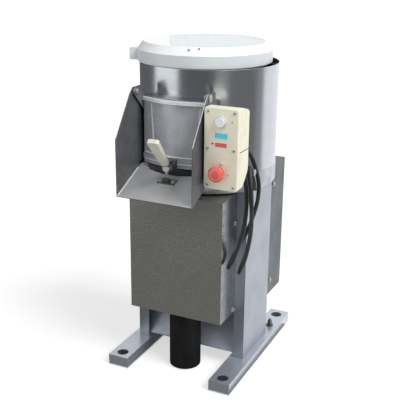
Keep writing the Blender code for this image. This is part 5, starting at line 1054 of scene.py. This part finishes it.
# Moulded polyamide: signal red, glossy.
SIGNAL_RED = finish("signal_red_mushroom", "#ee6a61", "#e4564e", 0.012, 0.0009, 0.00001, 0.22, 0.32)
BLACK_STEM = finish("black_moulded_stem", "#1c1d1f", "#2a2b2d", 0.01, 0.0008, 0.00001, 0.35, 0.5)
PALE_RED = finish("pale_red_ring", "#f0b0aa", "#e8a29c", 0.01, 0.0008, 0.00001, 0.30, 0.4)
softened("estop_bezel", "stop_ring", SMALL_EDGE, SIGNAL_RED, "frame", 3)
softened("estop_stem", "stop_stem", THIN_EDGE, BLACK_STEM, "stop_slide")
softened("estop_head", "stop_mushroom", CAST_EDGE, SIGNAL_RED, "stop_head", 3, 40.0)
ridge = shaped(torus, "stop_mushroom_ridge", (1.0, 1.0, RIDGE_FLATNESS), major_segments=64, minor_segments=10,
               major_radius=RIDGE_TURN, minor_radius=RIDGE_RADIUS, rotation=(math.pi / 2, 0.0, 0.0),
               location=(STOP.x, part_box("estop_head")[0].y, STOP.z))
bpy.ops.object.shade_smooth()
dressed(ridge, PALE_RED, "stop_head")


# Contacts, pilot lamp and gland
# The contacts sit inside the box behind both buttons. A small clear lamp shows that the machine has
# current, and the cable leaves at the back through a black gland with a tapered nose.

# Glass-filled nylon, moulded: black, satin.
BLACK_NYLON = finish("black_glass_filled_nylon", "#1b1c1e", "#292a2d", 0.015, 0.0009, 0.00002, 0.36, 0.52)
# Clear acrylic lens over a neon: pale, very glossy, slightly see-through.
LAMP_ACRYLIC = finish("clear_lamp_acrylic", "#f3f4f0", "#e6e8e4", 0.004, 0.0006, 0.000005, 0.06, 0.12,
                      more={"Transmission Weight": 0.5, "IOR": 1.49})
softened("contact_block", "contact_strip", THIN_EDGE, BLACK_NYLON, "frame")
softened("indicator_lamp", "pilot_lamp", THIN_EDGE, LAMP_ACRYLIC, "frame", 3, 40.0)
softened("cable_gland", "gland", SMALL_EDGE, BLACK_NYLON, "frame", 3)


# Control bracket
# A folded zinc-plated plate, bolted to the neck's side, that holds the box. A tab below carries the peg
# for the cable.

BRACKET_BOLTS = ((-0.1675, 0.655), (-0.1675, 0.720))
BRACKET_X = 0.1106
BRACKET_BOLT_SCALE = 1.1
# Zinc plate on pressed sheet: mid grey, cloudy, satin.
PLATED_SHEET = finish("zinc_plated_sheet", "#a5a8aa", "#8f9294", 0.02, 0.0015, 0.00003, 0.30, 0.45, 0.9)
softened("control_bracket", "box_bracket", SLIM_EDGE, PLATED_SHEET, "frame")
for number, (y, z) in enumerate(BRACKET_BOLTS):
    pan_screw(f"box_bracket_bolt_{number}", (BRACKET_X, y, z), (1.0, 0.0, 0.0), BRACKET_BOLT_SCALE)


# Lid
# A deep moulded cap with a sloping shoulder, a recessed window and one lifting lug. Its skirt is painted
# greyer as shade.
# It lies loose on the drum and locates with a collar inside it.

LID_EDGE = 0.0022
LID_SHOULDER = 0.8880
LID_MIDDLE = (-0.0136, 0.0139)
# Each small moulded mark on the shoulder: its turn from the front, distance from the lid's middle, height.
MARKS = ((11.5, 0.1740, 0.8994), (20.0, 0.1710, 0.9025))
MARK_RADIUS = 0.0026
MARK_DEPTH = 0.0010
MARK_EDGE = 0.0002
# Rotomoulded polyethylene: white, waxy, with soft clouds.
WAXY = {"Subsurface Weight": 0.06, "Subsurface Radius": (0.004, 0.004, 0.004)}
WHITE_POLYETHYLENE = finish("white_moulded_polyethylene", "#f5f7f8", "#eef1f3", 0.08, 0.0016, 0.00003, 0.28, 0.42,
                            more=WAXY)
# The same plastic painted greyer round its skirt and lug, as shade on the upright sides.
SHADED_SKIRT_POLYETHYLENE = finish("painted_shade_skirt_polyethylene", "#e0e5e7", "#d8dde0", 0.08, 0.0016, 0.00003, 0.30,
                             0.44, more=WAXY)
# Frosted acrylic: pale mint, see-through, softly polished.
MINT_ACRYLIC = finish("mint_frosted_acrylic", "#f0fbfb", "#e9f8f7", 0.06, 0.002, 0.00001, 0.10, 0.20,
                      more={"Transmission Weight": 0.35, "IOR": 1.49})
hood = softened("lid", "drum_lid", LID_EDGE, WHITE_POLYETHYLENE, "lid", 4)
# Upright faces below the shoulder get painted shade.
repainted(hood, SHADED_SKIRT_POLYETHYLENE, lambda face, spot: abs(face.normal.z) < 0.35 and spot.z < LID_SHOULDER)
softened("lid_window", "lid_pane", SLIM_EDGE, MINT_ACRYLIC, "lid")
for number, (turn, out, height) in enumerate(MARKS):
    mark = shaped(cylinder, f"lid_mark_{number}", vertices=32, radius=MARK_RADIUS, depth=MARK_DEPTH)
    away = Vector((math.sin(math.radians(turn)), -math.cos(math.radians(turn)), 0.0))
    spot = at(LID_MIDDLE[0] + away.x * out, LID_MIDDLE[1] + away.y * out, height)
    mark.data.transform(Matrix.Translation(spot) @ turned(away + Vector((0.0, 0.0, 1.0))))
    grey = finish(f"grey_mark_{number}", "#5f6365", "#53575a", 0.004, 0.0006, 0.00001, 0.35, 0.45)
    dressed(rounded(mark, MARK_EDGE), grey, "lid")


# Bearing housing and shaft
# A cast-iron housing bolted under the deck holds two ball bearings and a lip seal. The shaft turns in it
# and carries the disc above and the large pulley below.

# Grey cast iron, as cast: dark, rough, with sand grain.
CAST_IRON = finish("grey_cast_iron", "#55585b", "#424548", 0.02, 0.0012, 0.00012, 0.5, 0.7, 0.6)
softened("bearing_housing", "spindle_housing", CAST_EDGE, CAST_IRON, "frame", 3)
softened("lower_bearing", "bottom_bearing", THIN_EDGE, TURNED_STEEL, "frame")
softened("upper_bearing", "top_bearing", THIN_EDGE, TURNED_STEEL, "frame")
softened("shaft_seal", "lip_seal", THIN_EDGE, BLACK_RUBBER, "frame")
softened("main_shaft", "spindle", THIN_EDGE, TURNED_STEEL, "disc_rotor")


# Pulleys and belt
# Two V pulleys turned from cast iron sit on the shafts, one to three in pitch. A V belt of rubber and
# canvas joins them.

BELT_RUBBER = finish("rubber_canvas_belt", "#1e1e20", "#333335", 0.012, 0.0009, 0.00006, 0.6, 0.78)
softened("driven_pulley", "large_pulley", SLIM_EDGE, CAST_IRON, "disc_rotor")
softened("motor_pulley", "small_pulley", SLIM_EDGE, CAST_IRON, "motor_rotor")
softened("v_belt", "drive_belt", SLIM_EDGE, BELT_RUBBER, "frame")


# Motor
# A foot-less induction motor hangs by its flange from a steel plate. Its terminal box is on the right, and
# a pressed cowl covers the fan below.

# Blue-grey machine enamel, brushed on: satin with slight sags.
MOTOR_ENAMEL = finish("blue_grey_motor_enamel", "#5f6a74", "#525c66", 0.04, 0.003, 0.00008, 0.35, 0.5, 0.1)
softened("motor_plate", "motor_shelf", SHEET_EDGE, FRAME_ENAMEL, "frame")
softened("motor_body", "motor_casing", CAST_EDGE, MOTOR_ENAMEL, "frame", 3)
softened("motor_cowl", "fan_cowl", SMALL_EDGE, MOTOR_ENAMEL, "frame")
softened("motor_shaft", "motor_spindle", PIN_EDGE, TURNED_STEEL, "motor_rotor")
softened("motor_fan", "cooling_fan", PIN_EDGE, BLACK_NYLON, "motor_rotor")
